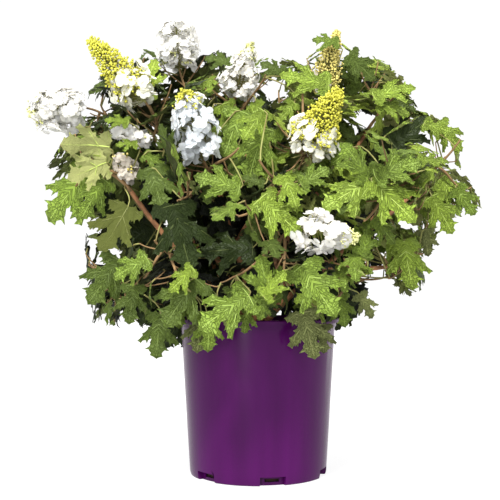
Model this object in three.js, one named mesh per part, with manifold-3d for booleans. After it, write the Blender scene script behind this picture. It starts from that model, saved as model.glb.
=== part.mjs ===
// A flowering oakleaf hydrangea, a shrub of many canes, in the round plastic pot that it was grown in.
// Millimetres, +Z up. The origin is the middle of the pot's underside. The plant's front looks along -Y.

import * as THREE from "three";
import { mergeVertices } from "three/addons/utils/BufferGeometryUtils.js";
import Module from "manifold-3d";

const wasm = await Module();
wasm.setup();

// Driving dimensions of the pot
const POT_HEIGHT = 254;
const RIM_RADIUS = 136;
const RIM_DEPTH = 6.5;
const COLLAR_RADIUS = 128.5;
const COLLAR_DEPTH = 7;
const BODY_TOP_RADIUS = 126.6;
const BODY_FOOT_RADIUS = 111.5;
const FOOT_CHAMFER = 3;
const POT_WALL = 2.4;
const POT_FLOOR = 3;
const POT_SIDES = 30;
const NOTCHES = 6;
const NOTCH_FIRST_DEG = 11.5;
const NOTCH_WIDTH_DEG = 21;
const NOTCH_HEIGHT = 14;
const NOTCH_DEPTH = 9;
const SLOT_WIDTH_DEG = 13;
const SLOT_FOOT = 5;
const SLOT_HEIGHT = 5;

// Driving dimensions of the soil, the stem base and the limbs
const CLEARANCE = 0.3;
const SOIL_TOP = 229.5;
const SOIL_EDGE_DROP = 4;
const CROWN_RADIUS = 15;
const CROWN_FLARE = 25;
const CROWN_HEIGHT = 26;
const FORK_REACH = 30;
const FORK_RISE = 20;
const CANE_RADIUS = 5.2;
const CANE_TIP_RADIUS = 3.6;
const BOUGH_RADIUS = 3.9;
const BOUGH_TIP_RADIUS = 3.1;
const LIMB_SIDES = 6;
const LIMB_STEPS = 4;
const PRONG_SIDES = 4;

// Driving dimensions of the foliage
const TWIG_TIP_RADIUS = 2;
const TWIG_SIDES = 4;
const TWIG_STEPS = 3;
const LEAF_LENGTH = 118;
const LEAF_HALF_THICKNESS = 0.017;
const STALK_RADIUS = 1.25;
const STALK_ROOT_RADIUS = 0.6;
const ROOT_SHARE = 0.5;
const PANICLE_SIDES = 7;
const PANICLE_BARE_END = 18;
const ROSETTE_BARE_END = 5;
const INTERNODE = 44;
const MOST_PAIRS = 5;
const LEAF_TRIES = 12;
const TWIG_TRIES = 8;
const SEED = 19;

// How far a fused solid's surface may move while its smallest facets are merged
const MERGE_REACH = 0.05;

// The whole crown: its heart, its reach sideways and in depth, and its outline as seen from the front by an
// eye at this distance and height. The outline's heights stand at even steps from left to right.
const HEART = new THREE.Vector3(0, 0, 345);
const CROWN_REACH = new THREE.Vector3(375, 312, 335);
const CROWN_MIDDLE_HEIGHT = 430;
const EYE_DISTANCE = 1550;
const EYE_HEIGHT = 310;
const OUTLINE_STEP = 25;
const OUTLINE_TOP = [
  470, 506, 539, 600, 655, 655, 660, 698, 698, 682, 688, 702, 708, 707, 698, 688,
  692, 682, 672, 715, 725, 708, 688, 682, 672, 642, 594, 589, 561, 478, 440,
];
const OUTLINE_FOOT = [
  440, 403, 431, 433, 250, 244, 237, 257, 192, 212, 204, 200, 227, 230, 250, 254,
  254, 245, 204, 190, 234, 240, 262, 370, 293, 290, 312, 393, 403, 423, 440,
];
const OUTLINE_SLACK = 5;
const SPACE_SLACK = 34;

// Gaps where the sky shows through the crown, as seen from the front: x, height, radius
const GAPS = [
  [31, 633, 15],
  [182, 583, 13],
  [-243, 362, 13],
  [-262, 601, 12],
  [277, 551, 9],
  [311, 524, 10],
  [246, 412, 11],
];

const UP = new THREE.Vector3(0, 0, 1);
const RIGHT = new THREE.Vector3(1, 0, 0);
const LATHE_AXIS = new THREE.Vector3(0, 1, 0);
const LANE_SHARE = 0.85;

// Canes rise from the stem base, boughs leave a cane part of the way up: name, parent, share of the way, tip
const LIMBS = [
  ["cane_left", "stem_base", 0, [-196, -118, 452]],
  ["cane_upper_left", "stem_base", 0, [-150, -48, 528]],
  ["cane_centre", "stem_base", 0, [-60, -104, 452]],
  ["cane_top", "stem_base", 0, [-22, 34, 560]],
  ["cane_upper_right", "stem_base", 0, [82, -62, 505]],
  ["cane_right", "stem_base", 0, [182, -96, 415]],
  ["cane_front", "stem_base", 0, [24, -146, 345]],
  ["cane_back_left", "stem_base", 0, [-140, 140, 430]],
  ["cane_back_right", "stem_base", 0, [145, 140, 440]],
  ["cane_back", "stem_base", 0, [0, 190, 420]],
  ["bough_left_low", "cane_left", 0.42, [-195, -52, 318]],
  ["bough_front_left", "cane_left", 0.5, [-120, -172, 345]],
  ["bough_left_high", "cane_upper_left", 0.68, [-212, -30, 548]],
  ["bough_top_left", "cane_upper_left", 0.62, [-112, 66, 605]],
  ["bough_front_centre", "cane_centre", 0.55, [18, -150, 452]],
  ["bough_right_top", "cane_upper_right", 0.55, [182, 6, 565]],
  ["bough_right_tip", "cane_right", 0.66, [262, -38, 470]],
  ["bough_right_low", "cane_right", 0.5, [206, -52, 338]],
  ["bough_front_right", "cane_front", 0.5, [112, -160, 318]],
  ["bough_back_left_low", "cane_back_left", 0.45, [-165, 128, 312]],
  ["bough_back_right_low", "cane_back_right", 0.45, [165, 132, 318]],
  ["bough_back_top", "cane_top", 0.6, [36, 128, 588]],
  ["bough_back_low", "cane_back", 0.45, [4, 196, 305]],
];

// Panicles of blossom: base, tip, radius of the base, radius near the tip
const PANICLES = {
  cone_far_left: [[-176, -120, 592], [-258, -128, 684], 34, 13],
  white_left: [[-284, -66, 592], [-362, -90, 584], 37, 30],
  white_top: [[-138, 82, 690], [-144, 76, 774], 36, 31],
  pointed_top: [[-40, 42, 634], [-12, 38, 722], 35, 10],
  white_centre: [[-84, -156, 498], [-110, -176, 596], 33, 22],
  small_left: [[-168, -120, 532], [-218, -136, 542], 14, 11],
  faded_left: [[-188, -134, 472], [-214, -142, 500], 18, 14],
  cone_right: [[70, -158, 508], [118, -182, 596], 39, 13],
  spike_right: [[108, 4, 630], [133, 0, 733], 27, 8],
  white_front: [[58, -222, 388], [138, -236, 374], 36, 13],
};

// Masses of foliage: the limb that each grows on, and where its shoots go. The first shoot is its stem.
// A shoot ends in a rosette of leaves at a point, or in the panicle that is named.
const MASSES = [
  ["leaves_left", "cane_left", [[-300, -146, 520], "faded_left", [-285, -98, 462]]],
  ["leaves_left_low", "bough_left_low", [[-250, -80, 332], [-222, -110, 286], [-180, -150, 300]]],
  ["leaves_front_left", "bough_front_left", [[-150, -215, 372], [-105, -228, 306], [-168, -190, 318]]],
  ["leaves_upper_left", "cane_upper_left", ["cone_far_left", "small_left", [-196, -60, 640]]],
  ["leaves_left_high", "bough_left_high", ["white_left", [-262, -4, 608], [-262, 70, 540]]],
  ["leaves_top_left", "bough_top_left", ["white_top", [-176, 96, 634], [-84, 128, 640]]],
  ["leaves_centre", "cane_centre", ["white_centre", [-118, -205, 430], [-30, -212, 505]]],
  ["leaves_front_centre", "bough_front_centre", [[44, -232, 440], [0, -225, 486], [-30, -232, 405]]],
  ["leaves_top", "cane_top", ["pointed_top", [12, -40, 650], [-82, 10, 640]]],
  ["leaves_upper_right", "cane_upper_right", ["cone_right", "spike_right", [70, -70, 640]]],
  ["leaves_right_top", "bough_right_top", [[232, -24, 632], [178, 40, 668], [262, 60, 590]]],
  ["leaves_right", "cane_right", [[190, -208, 470], [238, -170, 420], [150, -215, 400]]],
  ["leaves_right_tip", "bough_right_tip", [[322, -70, 540], [332, -40, 462], [292, 70, 500]]],
  ["leaves_right_low", "bough_right_low", [[246, -100, 352], [196, -140, 318], [258, 10, 360]]],
  ["leaves_front", "cane_front", ["white_front", [-36, -222, 320], [34, -228, 316]]],
  ["leaves_front_right", "bough_front_right", [[158, -206, 326], [98, -216, 274], [120, -226, 346]]],
  ["leaves_back_left", "cane_back_left", [[-205, 190, 500], [-130, 232, 486], [-232, 150, 420]]],
  ["leaves_back_left_low", "bough_back_left_low", [[-236, 120, 316], [-150, 206, 300]]],
  ["leaves_back_right", "cane_back_right", [[215, 180, 505], [135, 236, 492], [240, 130, 425]]],
  ["leaves_back_right_low", "bough_back_right_low", [[232, 136, 322], [150, 206, 306]]],
  ["leaves_back", "cane_back", [[0, 262, 430], [-66, 240, 545], [68, 240, 545]]],
  ["leaves_back_top", "bough_back_top", [[40, 168, 668], [-44, 196, 620], [122, 150, 640]]],
  ["leaves_back_low", "bough_back_low", [[-58, 246, 300], [66, 246, 306]]],
];

// Leaves with a place of their own: mass, foot of the blade as seen from the front (x, height) and its
// depth y, the way the blade points in that view in degrees (0 right, 90 up), its lean towards the eye,
// how far it faces up, the side that the eye sees (1 upper, -1 under), length
const PLACED_LEAVES = [
  ["leaves_left", [-249, 536, -140], 186, 8, 0.5, -1, 80],
  ["leaves_left", [-254, 506, -135], 206, 0, 0.3, -1, 74],
  ["leaves_left", [-284, 496, -96], 226, -5, 0.7, 1, 104],
  ["leaves_left", [-258, 484, -120], 238, 5, 0.5, 1, 70],
  ["leaves_left", [-191, 443, -160], 232, 8, 0.2, -1, 106],
  ["leaves_left", [-262, 590, -60], 150, 5, 0.6, 1, 62],
  ["leaves_left_low", [-232, 350, -110], 236, 10, 0.4, 1, 84],
  ["leaves_left_low", [-208, 318, -135], 262, 0, 0.3, 1, 78],
  ["leaves_left_low", [-163, 260, -165], 264, 5, 0.1, 1, 66],
  ["leaves_front_left", [-143, 440, -205], 284, 15, 0.6, 1, 106],
  ["leaves_front_left", [-163, 340, -200], 196, 10, 0.5, 1, 80],
  ["leaves_front_left", [-104, 318, -212], 236, 10, 0.4, 1, 84],
  ["leaves_front_left", [-96, 262, -165], 265, 5, 0.2, 1, 60],
  ["leaves_centre", [-179, 503, -190], 302, 15, 0.6, 1, 84],
  ["leaves_centre", [-33, 466, -200], 158, 8, 0.6, 1, 82],
  ["leaves_centre", [-30, 599, -130], 250, 15, 0.5, 1, 80],
  ["leaves_front_centre", [7, 569, -150], 256, 20, 0.5, 1, 86],
  ["leaves_front_centre", [-10, 370, -195], 192, 10, 0.5, 1, 86],
  ["leaves_front_centre", [0, 450, -220], 318, 15, 0.7, 1, 84],
  ["leaves_front", [-14, 290, -235], 202, 12, 0.5, 1, 96],
  ["leaves_front", [14, 278, -228], 96, 12, 0.7, 1, 66],
  ["leaves_front", [56, 340, -230], 326, 12, 0.5, 1, 98],
  ["leaves_front", [73, 264, -158], 284, -6, 0.1, 1, 76],
  ["leaves_front_right", [144, 373, -205], 286, 8, 0.5, 1, 104],
  ["leaves_front_right", [133, 290, -125], 284, 0, 0.3, 1, 58],
  ["leaves_upper_right", [118, 640, -70], 168, 10, 0.6, 1, 84],
  ["leaves_upper_right", [134, 713, -22], 172, 8, 0.6, 1, 44],
  ["leaves_upper_right", [160, 560, -70], 118, 5, 0.5, 1, 66],
  ["leaves_right_top", [189, 624, -55], 33, 5, 0.9, 1, 92],
  ["leaves_right_top", [196, 616, -40], 330, 5, 0.7, 1, 84],
  ["leaves_right_top", [150, 690, 10], 318, 5, 0.5, 1, 84],
  ["leaves_right_top", [168, 632, 30], 98, 0, 0.4, 1, 72],
  ["leaves_right", [183, 478, -215], 206, 18, 0.8, 1, 80],
  ["leaves_right", [187, 480, -216], 320, 18, 0.8, 1, 90],
  ["leaves_right", [190, 484, -212], 24, 10, 0.7, 1, 84],
  ["leaves_right", [183, 486, -210], 122, 8, 0.7, 1, 68],
  ["leaves_right_tip", [277, 569, -25], 322, 5, 0.6, 1, 70],
  ["leaves_right_tip", [302, 486, -45], 326, 8, 0.5, 1, 72],
  ["leaves_right_tip", [289, 455, -60], 300, 5, 0.5, 1, 68],
  ["leaves_right_low", [239, 395, -85], 275, 5, 0.2, 1, 98],
];

// The leaf's right edge, from stalk to tip: along the leaf, out from its midrib, in shares of its length
const LEAF_EDGE = [[0.1, 0.37], [0.32, 0.25], [0.56, 0.48], [0.74, 0.25]];
const LEAF_MIDDLE = 0.42;
const GUARD_SWELL = 0.02;
const GUARD_MARGIN = 0.5;
const POT_GUARD = 1.2;

// Random numbers
function randomSource(seed) {
  let state = seed >>> 0;
  return () => {
    state = (state + 0x6d2b79f5) >>> 0;
    let mixed = Math.imul(state ^ (state >>> 15), state | 1);
    mixed ^= mixed + Math.imul(mixed ^ (mixed >>> 7), mixed | 61);
    return ((mixed ^ (mixed >>> 14)) >>> 0) / 4294967296;
  };
}

function seedOf(...places) {
  return places.reduce((seed, place) => (Math.imul(seed, 31) + place + 7) >>> 0, SEED);
}

function spread(random) {
  return 2 * random() - 1;
}

function randomVector(random) {
  return new THREE.Vector3(spread(random), spread(random), spread(random));
}

function mix(low, high, share) {
  return low + (high - low) * share;
}

// Solids
function signedVolume(position, corners) {
  const [a, b, c] = [new THREE.Vector3(), new THREE.Vector3(), new THREE.Vector3()];
  let volume = 0;
  for (let i = 0; i < corners.length; i += 3) {
    a.fromBufferAttribute(position, corners[i]);
    b.fromBufferAttribute(position, corners[i + 1]);
    c.fromBufferAttribute(position, corners[i + 2]);
    volume += a.dot(b.cross(c)) / 6;
  }
  return volume;
}

function toSolid(geometry) {
  geometry.deleteAttribute("normal");
  geometry.deleteAttribute("uv");
  const merged = mergeVertices(geometry, 1e-4);
  const position = merged.getAttribute("position");
  const index = merged.getIndex().array;
  const corners = [];
  for (let i = 0; i < index.length; i += 3) {
    const [a, b, c] = index.slice(i, i + 3);
    if (a !== b && b !== c && c !== a) {
      corners.push(a, b, c);
    }
  }
  if (signedVolume(position, corners) < 0) {
    corners.reverse();
  }
  const vertProperties = Float32Array.from(position.array);
  const triVerts = Uint32Array.from(corners);
  return new wasm.Manifold(new wasm.Mesh({ numProp: 3, vertProperties, triVerts }));
}

function largestPiece(solid) {
  const pieces = solid.simplify(MERGE_REACH).decompose();
  return pieces.reduce((best, each) => (each.volume() > best.volume() ? each : best));
}

function toGeometry(solid) {
  const { vertProperties, triVerts } = solid.getMesh();
  const geometry = new THREE.BufferGeometry();
  geometry.setAttribute("position", new THREE.BufferAttribute(vertProperties, 3));
  geometry.setIndex(new THREE.BufferAttribute(triVerts, 1));
  geometry.computeVertexNormals();
  return geometry;
}

function turned(profile, sides) {
  const points = profile.map(([radius, height]) => new THREE.Vector2(radius, height));
  return toSolid(new THREE.LatheGeometry(points, sides).rotateX(Math.PI / 2));
}

// A block in the shape of a ring's sector, round the pot's axis, with 0 degrees at the front
function ringBlock(innerRadius, outerRadius, foot, height, middleDeg, widthDeg) {
  const start = THREE.MathUtils.degToRad(middleDeg - 90 - widthDeg / 2);
  const end = THREE.MathUtils.degToRad(middleDeg - 90 + widthDeg / 2);
  const outline = new THREE.Shape();
  outline.absarc(0, 0, outerRadius, start, end, false);
  outline.absarc(0, 0, innerRadius, end, start, true);
  const block = new THREE.ExtrudeGeometry(outline, { depth: height, bevelEnabled: false, curveSegments: 2 });
  return toSolid(block.translate(0, 0, foot));
}

// A closed round stem bent along a curve, tapering from one radius to another
function taperedStem(curve, startRadius, endRadius, sides, steps) {
  const stem = new THREE.CylinderGeometry(endRadius, startRadius, 1, sides, steps);
  const { normals, binormals } = curve.computeFrenetFrames(steps);
  const position = stem.getAttribute("position");
  const point = new THREE.Vector3();
  for (let i = 0; i < position.count; i += 1) {
    const step = Math.round((position.getY(i) + 0.5) * steps);
    curve.getPointAt(step / steps, point);
    point.addScaledVector(normals[step], position.getX(i));
    point.addScaledVector(binormals[step], position.getZ(i));
    position.setXYZ(i, point.x, point.y, point.z);
  }
  return toSolid(stem);
}

// A point on the straight stretches that a stem's solid is made of
function insideStem(curve, steps, share) {
  const step = Math.min(Math.floor(share * steps), steps - 1);
  const near = curve.getPointAt(step / steps);
  return near.lerp(curve.getPointAt((step + 1) / steps), share * steps - step);
}

// Where the next stem starts, a clearance past the end of the last
function pastEnd(end, way) {
  return end.clone().addScaledVector(way, CLEARANCE);
}

function arc(start, startWay, end, endWay, slack = 0.36) {
  const reach = start.distanceTo(end) * slack;
  const leave = start.clone().addScaledVector(startWay, reach);
  const arrive = end.clone().addScaledVector(endWay, -reach);
  return new THREE.CubicBezierCurve3(start, leave, arrive, end);
}

// Pot
function bodyRadius(height) {
  const top = POT_HEIGHT - RIM_DEPTH - COLLAR_DEPTH;
  return mix(BODY_FOOT_RADIUS, BODY_TOP_RADIUS, height / top);
}

function potOutside(grow) {
  const rimFoot = POT_HEIGHT - RIM_DEPTH;
  const collarFoot = rimFoot - COLLAR_DEPTH;
  return [
    [0, -grow],
    [BODY_FOOT_RADIUS - FOOT_CHAMFER + grow, -grow],
    [bodyRadius(FOOT_CHAMFER * 2) + grow, FOOT_CHAMFER * 2],
    [BODY_TOP_RADIUS + grow, collarFoot],
    [COLLAR_RADIUS + grow, collarFoot],
    [COLLAR_RADIUS + grow, rimFoot - grow],
    [RIM_RADIUS + grow, rimFoot - grow],
    [RIM_RADIUS + grow, POT_HEIGHT - 1.5],
    [RIM_RADIUS - 1.5 + grow, POT_HEIGHT + grow],
  ];
}

function makePot() {
  const collarFoot = POT_HEIGHT - RIM_DEPTH - COLLAR_DEPTH;
  const mouthRadius = COLLAR_RADIUS - POT_WALL;
  const shell = turned([
    ...potOutside(0),
    [mouthRadius, POT_HEIGHT],
    [mouthRadius, collarFoot + POT_WALL],
    [BODY_TOP_RADIUS - POT_WALL, collarFoot],
    [bodyRadius(POT_FLOOR) - POT_WALL, POT_FLOOR],
    [0, POT_FLOOR],
  ], POT_SIDES);
  const backWall = BODY_FOOT_RADIUS - NOTCH_DEPTH;
  const boxes = [];
  const cuts = [];
  for (let i = 0; i < NOTCHES; i += 1) {
    const middle = NOTCH_FIRST_DEG + (i * 360) / NOTCHES;
    const boxWidth = NOTCH_WIDTH_DEG + 2.4;
    const boxHeight = NOTCH_HEIGHT + POT_WALL - 1;
    boxes.push(ringBlock(backWall - POT_WALL, BODY_FOOT_RADIUS - 1, 1, boxHeight, middle, boxWidth));
    cuts.push(ringBlock(backWall, BODY_FOOT_RADIUS + 10, -1, NOTCH_HEIGHT + 1, middle, NOTCH_WIDTH_DEG));
    cuts.push(ringBlock(backWall - 6, backWall + 2, SLOT_FOOT, SLOT_HEIGHT, middle, SLOT_WIDTH_DEG));
  }
  const walled = wasm.Manifold.union([shell, ...boxes]);
  return largestPiece(walled.subtract(wasm.Manifold.union(cuts)));
}

// Soil, filling the pot to a little below its rim
function makeSoil() {
  const aroundNotches = BODY_FOOT_RADIUS - NOTCH_DEPTH - POT_WALL - 2;
  const overNotches = NOTCH_HEIGHT + POT_WALL + 1;
  const edgeHeight = SOIL_TOP - SOIL_EDGE_DROP;
  const sideGap = POT_WALL + CLEARANCE + 0.15;
  return turned([
    [0, POT_FLOOR + CLEARANCE],
    [aroundNotches, POT_FLOOR + CLEARANCE],
    [aroundNotches, overNotches],
    [bodyRadius(overNotches) - sideGap, overNotches],
    [bodyRadius(edgeHeight) - sideGap, edgeHeight],
    [CROWN_FLARE * 1.6, SOIL_TOP],
    [0, SOIL_TOP],
  ], POT_SIDES);
}

// Stem base: a flared stump with a flat foot on the soil, and a short fork for each cane
function forkOf(tip, order) {
  const away = new THREE.Vector3(tip[0], tip[1], 0);
  const upright = THREE.MathUtils.clamp(1.25 - away.length() / 220, 0.25, 0.95);
  away.normalize();
  const reach = FORK_REACH * (1 - 0.55 * upright);
  const rise = FORK_RISE + 16 * upright + 3 * (order % 2);
  const end = away.clone().multiplyScalar(reach).setZ(SOIL_TOP + rise);
  const way = away.clone().multiplyScalar(1.1 - upright).addScaledVector(UP, 0.55 + upright).normalize();
  return { end, way };
}

function makeStemBase(forks, sockets) {
  const foot = SOIL_TOP + CLEARANCE;
  const stump = turned([
    [0, foot],
    [CROWN_FLARE, foot],
    [CROWN_RADIUS + 4, foot + 5],
    [CROWN_RADIUS, foot + 13],
    [CROWN_RADIUS - 2, foot + CROWN_HEIGHT - 6],
    [CROWN_RADIUS - 7, foot + CROWN_HEIGHT],
    [0, foot + CROWN_HEIGHT + 2],
  ], 10);
  const prongs = forks.map(({ end, way }) => {
    const start = new THREE.Vector3(end.x * 0.2, end.y * 0.2, foot + 8);
    const curve = arc(start, UP.clone(), end, way);
    return taperedStem(curve, CANE_RADIUS + 2.5, CANE_RADIUS + 0.5, PRONG_SIDES, 2);
  });
  return largestPiece(wasm.Manifold.union([stump, ...prongs]).subtract(wasm.Manifold.union(sockets)));
}

// Canes and boughs. A socket is the room that a limb needs in the piece that it leaves.
function makeSocket({ curve, startRadius, endRadius }) {
  const gap = CLEARANCE + 0.1;
  return taperedStem(curve, startRadius + gap, endRadius + gap, LIMB_SIDES, LIMB_STEPS);
}

function makeLimbs(forks) {
  const limbs = new Map();
  let order = 0;
  for (const [name, parentName, share, tipPlace] of LIMBS) {
    const tip = new THREE.Vector3(...tipPlace);
    const parent = limbs.get(parentName);
    const isCane = parent === undefined;
    const fork = forks[order];
    const start = isCane ? pastEnd(fork.end, fork.way) : parent.curve.getPointAt(share);
    const along = tip.clone().sub(start).normalize();
    const parentWay = isCane ? fork.way : parent.curve.getTangentAt(share);
    const startWay = isCane ? parentWay : parentWay.multiplyScalar(0.45).add(along).normalize();
    const endWay = along.clone().addScaledVector(UP, 0.25).normalize();
    const curve = arc(start, startWay, tip, endWay);
    const startRadius = isCane ? CANE_RADIUS : BOUGH_RADIUS;
    const endRadius = isCane ? CANE_TIP_RADIUS : BOUGH_TIP_RADIUS;
    let solid = taperedStem(curve, startRadius, endRadius, LIMB_SIDES, LIMB_STEPS);
    if (!isCane) {
      solid = largestPiece(solid.subtract(makeSocket(parent)));
    }
    limbs.set(name, { name, isCane, curve, startRadius, endRadius, solid });
    order += 1;
  }
  return limbs;
}

// A panicle: a blunt bumpy cone round the end of its shoot
function makePanicle(name, grow) {
  const [basePlace, tipPlace, baseRadius, tipRadius] = PANICLES[name];
  const base = new THREE.Vector3(...basePlace);
  const axis = new THREE.Vector3(...tipPlace).sub(base);
  const length = axis.length();
  const profile = [
    [0, 0.02],
    [0.62 * baseRadius, 0],
    [baseRadius, 0.2],
    [mix(baseRadius, tipRadius, 0.35), 0.5],
    [tipRadius, 0.85],
    [0, 1],
  ].map(([radius, share]) => new THREE.Vector2(radius && radius + grow, share * length));
  const cone = new THREE.LatheGeometry(profile, PANICLE_SIDES);
  const position = cone.getAttribute("position");
  for (let i = 0; i < position.count; i += 1) {
    const [x, y, z] = [position.getX(i), position.getY(i), position.getZ(i)];
    const bump = 1 + 0.09 * Math.sin(x * 0.31 + y * 0.23) + 0.07 * Math.cos(z * 0.37 + y * 0.11);
    position.setXYZ(i, x * bump, y, z * bump);
  }
  const turn = new THREE.Quaternion().setFromUnitVectors(LATHE_AXIS, axis.normalize());
  return toSolid(cone.applyQuaternion(turn).translate(base.x, base.y, base.z));
}

// A leaf: a lobed blade, thickest at its middle, that droops to its tip and to its lobes. Its stalk has three
// sides and runs from the root, inside the twig, to the blade's foot.
function placeOnLeaf({ foot, way, facing, length, bend }, swell = 0) {
  const across = new THREE.Vector3().crossVectors(facing, way);
  return (u, v, lift = 0) => foot.clone()
    .addScaledVector(way, (u + (u - LEAF_MIDDLE) * swell) * length)
    .addScaledVector(across, v * (1 + swell) * length)
    .addScaledVector(facing, (lift - bend * u * u - 0.32 * v * v) * length);
}

function leafEdge(place) {
  const right = LEAF_EDGE.map(([u, v]) => place(u, v));
  const left = LEAF_EDGE.map(([u, v]) => place(u, -v)).reverse();
  return [...right, place(1, 0), ...left];
}

function stalkSection(centre, wayAlong, facing, radius) {
  const across = new THREE.Vector3().crossVectors(facing, wayAlong).normalize();
  const up = new THREE.Vector3().crossVectors(wayAlong, across).normalize();
  const corner = (turn) => centre.clone()
    .addScaledVector(across, radius * Math.cos(turn))
    .addScaledVector(up, radius * Math.sin(turn));
  return [corner(Math.PI / 6), corner((5 * Math.PI) / 6), corner((3 * Math.PI) / 2)];
}

function makeLeaf(pose) {
  const place = placeOnLeaf(pose);
  const { root, foot, facing, length } = pose;
  const stalkLine = foot.clone().sub(root).normalize();
  const footSection = stalkSection(foot, stalkLine, facing, STALK_RADIUS);
  const rootSection = stalkSection(root, stalkLine, facing, STALK_ROOT_RADIUS);
  const [right, left, under] = [0, 1, 2];
  const points = [...footSection, ...rootSection];
  const edgeStart = points.length;
  points.push(...leafEdge(place));
  const top = points.length;
  const bottom = top + 1;
  points.push(place(LEAF_MIDDLE, 0, LEAF_HALF_THICKNESS), place(LEAF_MIDDLE, 0, -LEAF_HALF_THICKNESS));
  const ring = [right, ...Array.from({ length: top - edgeStart }, (_, i) => edgeStart + i), left];
  const corners = [top, left, right, bottom, under, left, bottom, right, under];
  for (let i = 0; i + 1 < ring.length; i += 1) {
    corners.push(top, ring[i], ring[i + 1], bottom, ring[i + 1], ring[i]);
  }
  for (let i = 0; i < 3; i += 1) {
    const next = (i + 1) % 3;
    corners.push(i, next, i + 3, next, next + 3, i + 3);
  }
  corners.push(3, 4, 5);
  return toSolid(new THREE.BufferGeometry().setFromPoints(points).setIndex(corners));
}

// The blade alone, a little larger than life, to test for room
function makeBladeGuard(pose) {
  const place = placeOnLeaf(pose, GUARD_SWELL);
  const edge = [place(0, 0), ...leafEdge(place)];
  const half = LEAF_HALF_THICKNESS + GUARD_MARGIN / pose.length;
  const points = [...edge, place(LEAF_MIDDLE, 0, half), place(LEAF_MIDDLE, 0, -half)];
  const [top, bottom] = [edge.length, edge.length + 1];
  const corners = [];
  for (let i = 0; i < edge.length; i += 1) {
    const next = (i + 1) % edge.length;
    corners.push(top, i, next, bottom, next, i);
  }
  return toSolid(new THREE.BufferGeometry().setFromPoints(points).setIndex(corners));
}

// The outer part of the stalk, a little thicker than life, to test for room
function makeStalkGuard({ root, foot }) {
  const start = root.clone().lerp(foot, 0.35);
  const line = new THREE.LineCurve3(start, foot);
  const radius = STALK_RADIUS + GUARD_MARGIN;
  return taperedStem(line, radius, radius, 3, 1);
}

// Axes across a stem: one level, one over it
function sideAxes(tangent) {
  const level = new THREE.Vector3().crossVectors(tangent, UP);
  if (level.lengthSq() < 0.01) {
    level.copy(RIGHT);
  }
  level.normalize();
  const over = new THREE.Vector3().crossVectors(level, tangent).normalize();
  return [level, over];
}

function outwardAt(point) {
  return point.clone().sub(HEART).normalize();
}

function squareTo(facing, way) {
  return facing.addScaledVector(way, -facing.dot(way)).normalize();
}

// The growth rule. Leaves stand in pairs, each pair across the last, from the shoot's tip back. A later try
// turns the leaf further from its first pose.
function poseShootLeaf(shoot, node, side, attempt, random) {
  const share = shoot.nodes[node];
  const axisPoint = shoot.curve.getPointAt(share);
  const inTwig = insideStem(shoot.curve, TWIG_STEPS, share);
  const tangent = shoot.curve.getTangentAt(share);
  const [level, over] = sideAxes(tangent);
  const looseness = 0.25 + 0.2 * attempt;
  const reachOut = 1 - attempt / LEAF_TRIES;
  const roll = shoot.phase + (node * Math.PI) / 2 + side * Math.PI + spread(random) * looseness;
  const outward = outwardAt(axisPoint);
  const stalkWay = level.clone().multiplyScalar(Math.cos(roll))
    .addScaledVector(over, Math.sin(roll))
    .addScaledVector(tangent, 0.6 * reachOut)
    .addScaledVector(outward, 0.55 * reachOut)
    .addScaledVector(UP, 0.15)
    .normalize();
  const root = inTwig.addScaledVector(stalkWay, ROOT_SHARE * TWIG_TIP_RADIUS);
  const growth = Math.min(0.74 + 0.12 * node, 1.04);
  const length = LEAF_LENGTH * growth * (1 + 0.12 * spread(random)) * (1 - 0.035 * attempt);
  const stalkLength = length * mix(0.28, 0.55, random());
  const foot = axisPoint.clone()
    .addScaledVector(stalkWay, stalkLength)
    .addScaledVector(UP, -0.12 * stalkLength);
  const droop = mix(0.05, 0.75, random()) + 0.1 * node;
  const way = stalkWay.clone().multiplyScalar(0.8)
    .addScaledVector(outward, 0.35 * reachOut)
    .addScaledVector(UP, -droop)
    .addScaledVector(randomVector(random), 0.12 * attempt)
    .normalize();
  const upness = foot.y < 0 ? 0.6 : 0.75;
  const facing = outward.multiplyScalar(0.95).addScaledVector(UP, upness)
    .addScaledVector(randomVector(random), 0.4 + 0.08 * attempt);
  const bend = mix(0.08, 0.34, random());
  return { root, stalkWay, foot, way, facing: squareTo(facing, way), length, bend };
}

// A placed leaf keeps its first pose if it can, and shifts a little in depth and heading if it can't
function posePlacedLeaf(mass, row, attempt, random) {
  const [, [seenX, seenHeight, depth], headingDeg, leanDeg, upness, seenSide, fullLength] = row;
  const loose = attempt * 0.5;
  const heading = THREE.MathUtils.degToRad(headingDeg + 9 * loose * spread(random));
  const lean = THREE.MathUtils.degToRad(leanDeg + 9 * loose * spread(random));
  const y = depth + 9 * loose * spread(random);
  const foot = placeInView(seenX, seenHeight + 3 * loose * spread(random), y);
  const way = new THREE.Vector3(
    Math.cos(heading) * Math.cos(lean), -Math.sin(lean), Math.sin(heading) * Math.cos(lean),
  );
  const facing = new THREE.Vector3(0.25 * spread(random), -seenSide, upness);
  const length = fullLength * (1 - 0.03 * attempt);
  const bend = mix(0.06, 0.2, random());
  const { root, tangent } = nearestOnShoots(mass, foot);
  const stalkWay = foot.clone().sub(root).normalize().add(tangent.multiplyScalar(0.4)).normalize();
  return { root, stalkWay, foot, way, facing: squareTo(facing, way), length, bend };
}

function nearestOnShoots(mass, foot) {
  let best = { distance: Infinity };
  for (const shoot of mass.shoots) {
    for (let share = 0.1; share < 0.98; share += 0.05) {
      const root = insideStem(shoot.curve, TWIG_STEPS, share);
      const distance = root.distanceTo(foot);
      if (distance < best.distance) {
        best = { distance, root, tangent: shoot.curve.getTangentAt(share) };
      }
    }
  }
  return best;
}

// Room in the crown
const taken = [];
const PANICLE_LANES = Object.values(PANICLES).map(([base, tip, radius]) => {
  const [start, end] = [base, tip].map((place) => {
    const [x, height] = seenFromFront(new THREE.Vector3(...place));
    return new THREE.Vector3(x, 0, height);
  });
  const line = new THREE.Line3(start, end);
  return { line, depth: (base[1] + tip[1]) / 2, radius: LANE_SHARE * radius };
});

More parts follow.
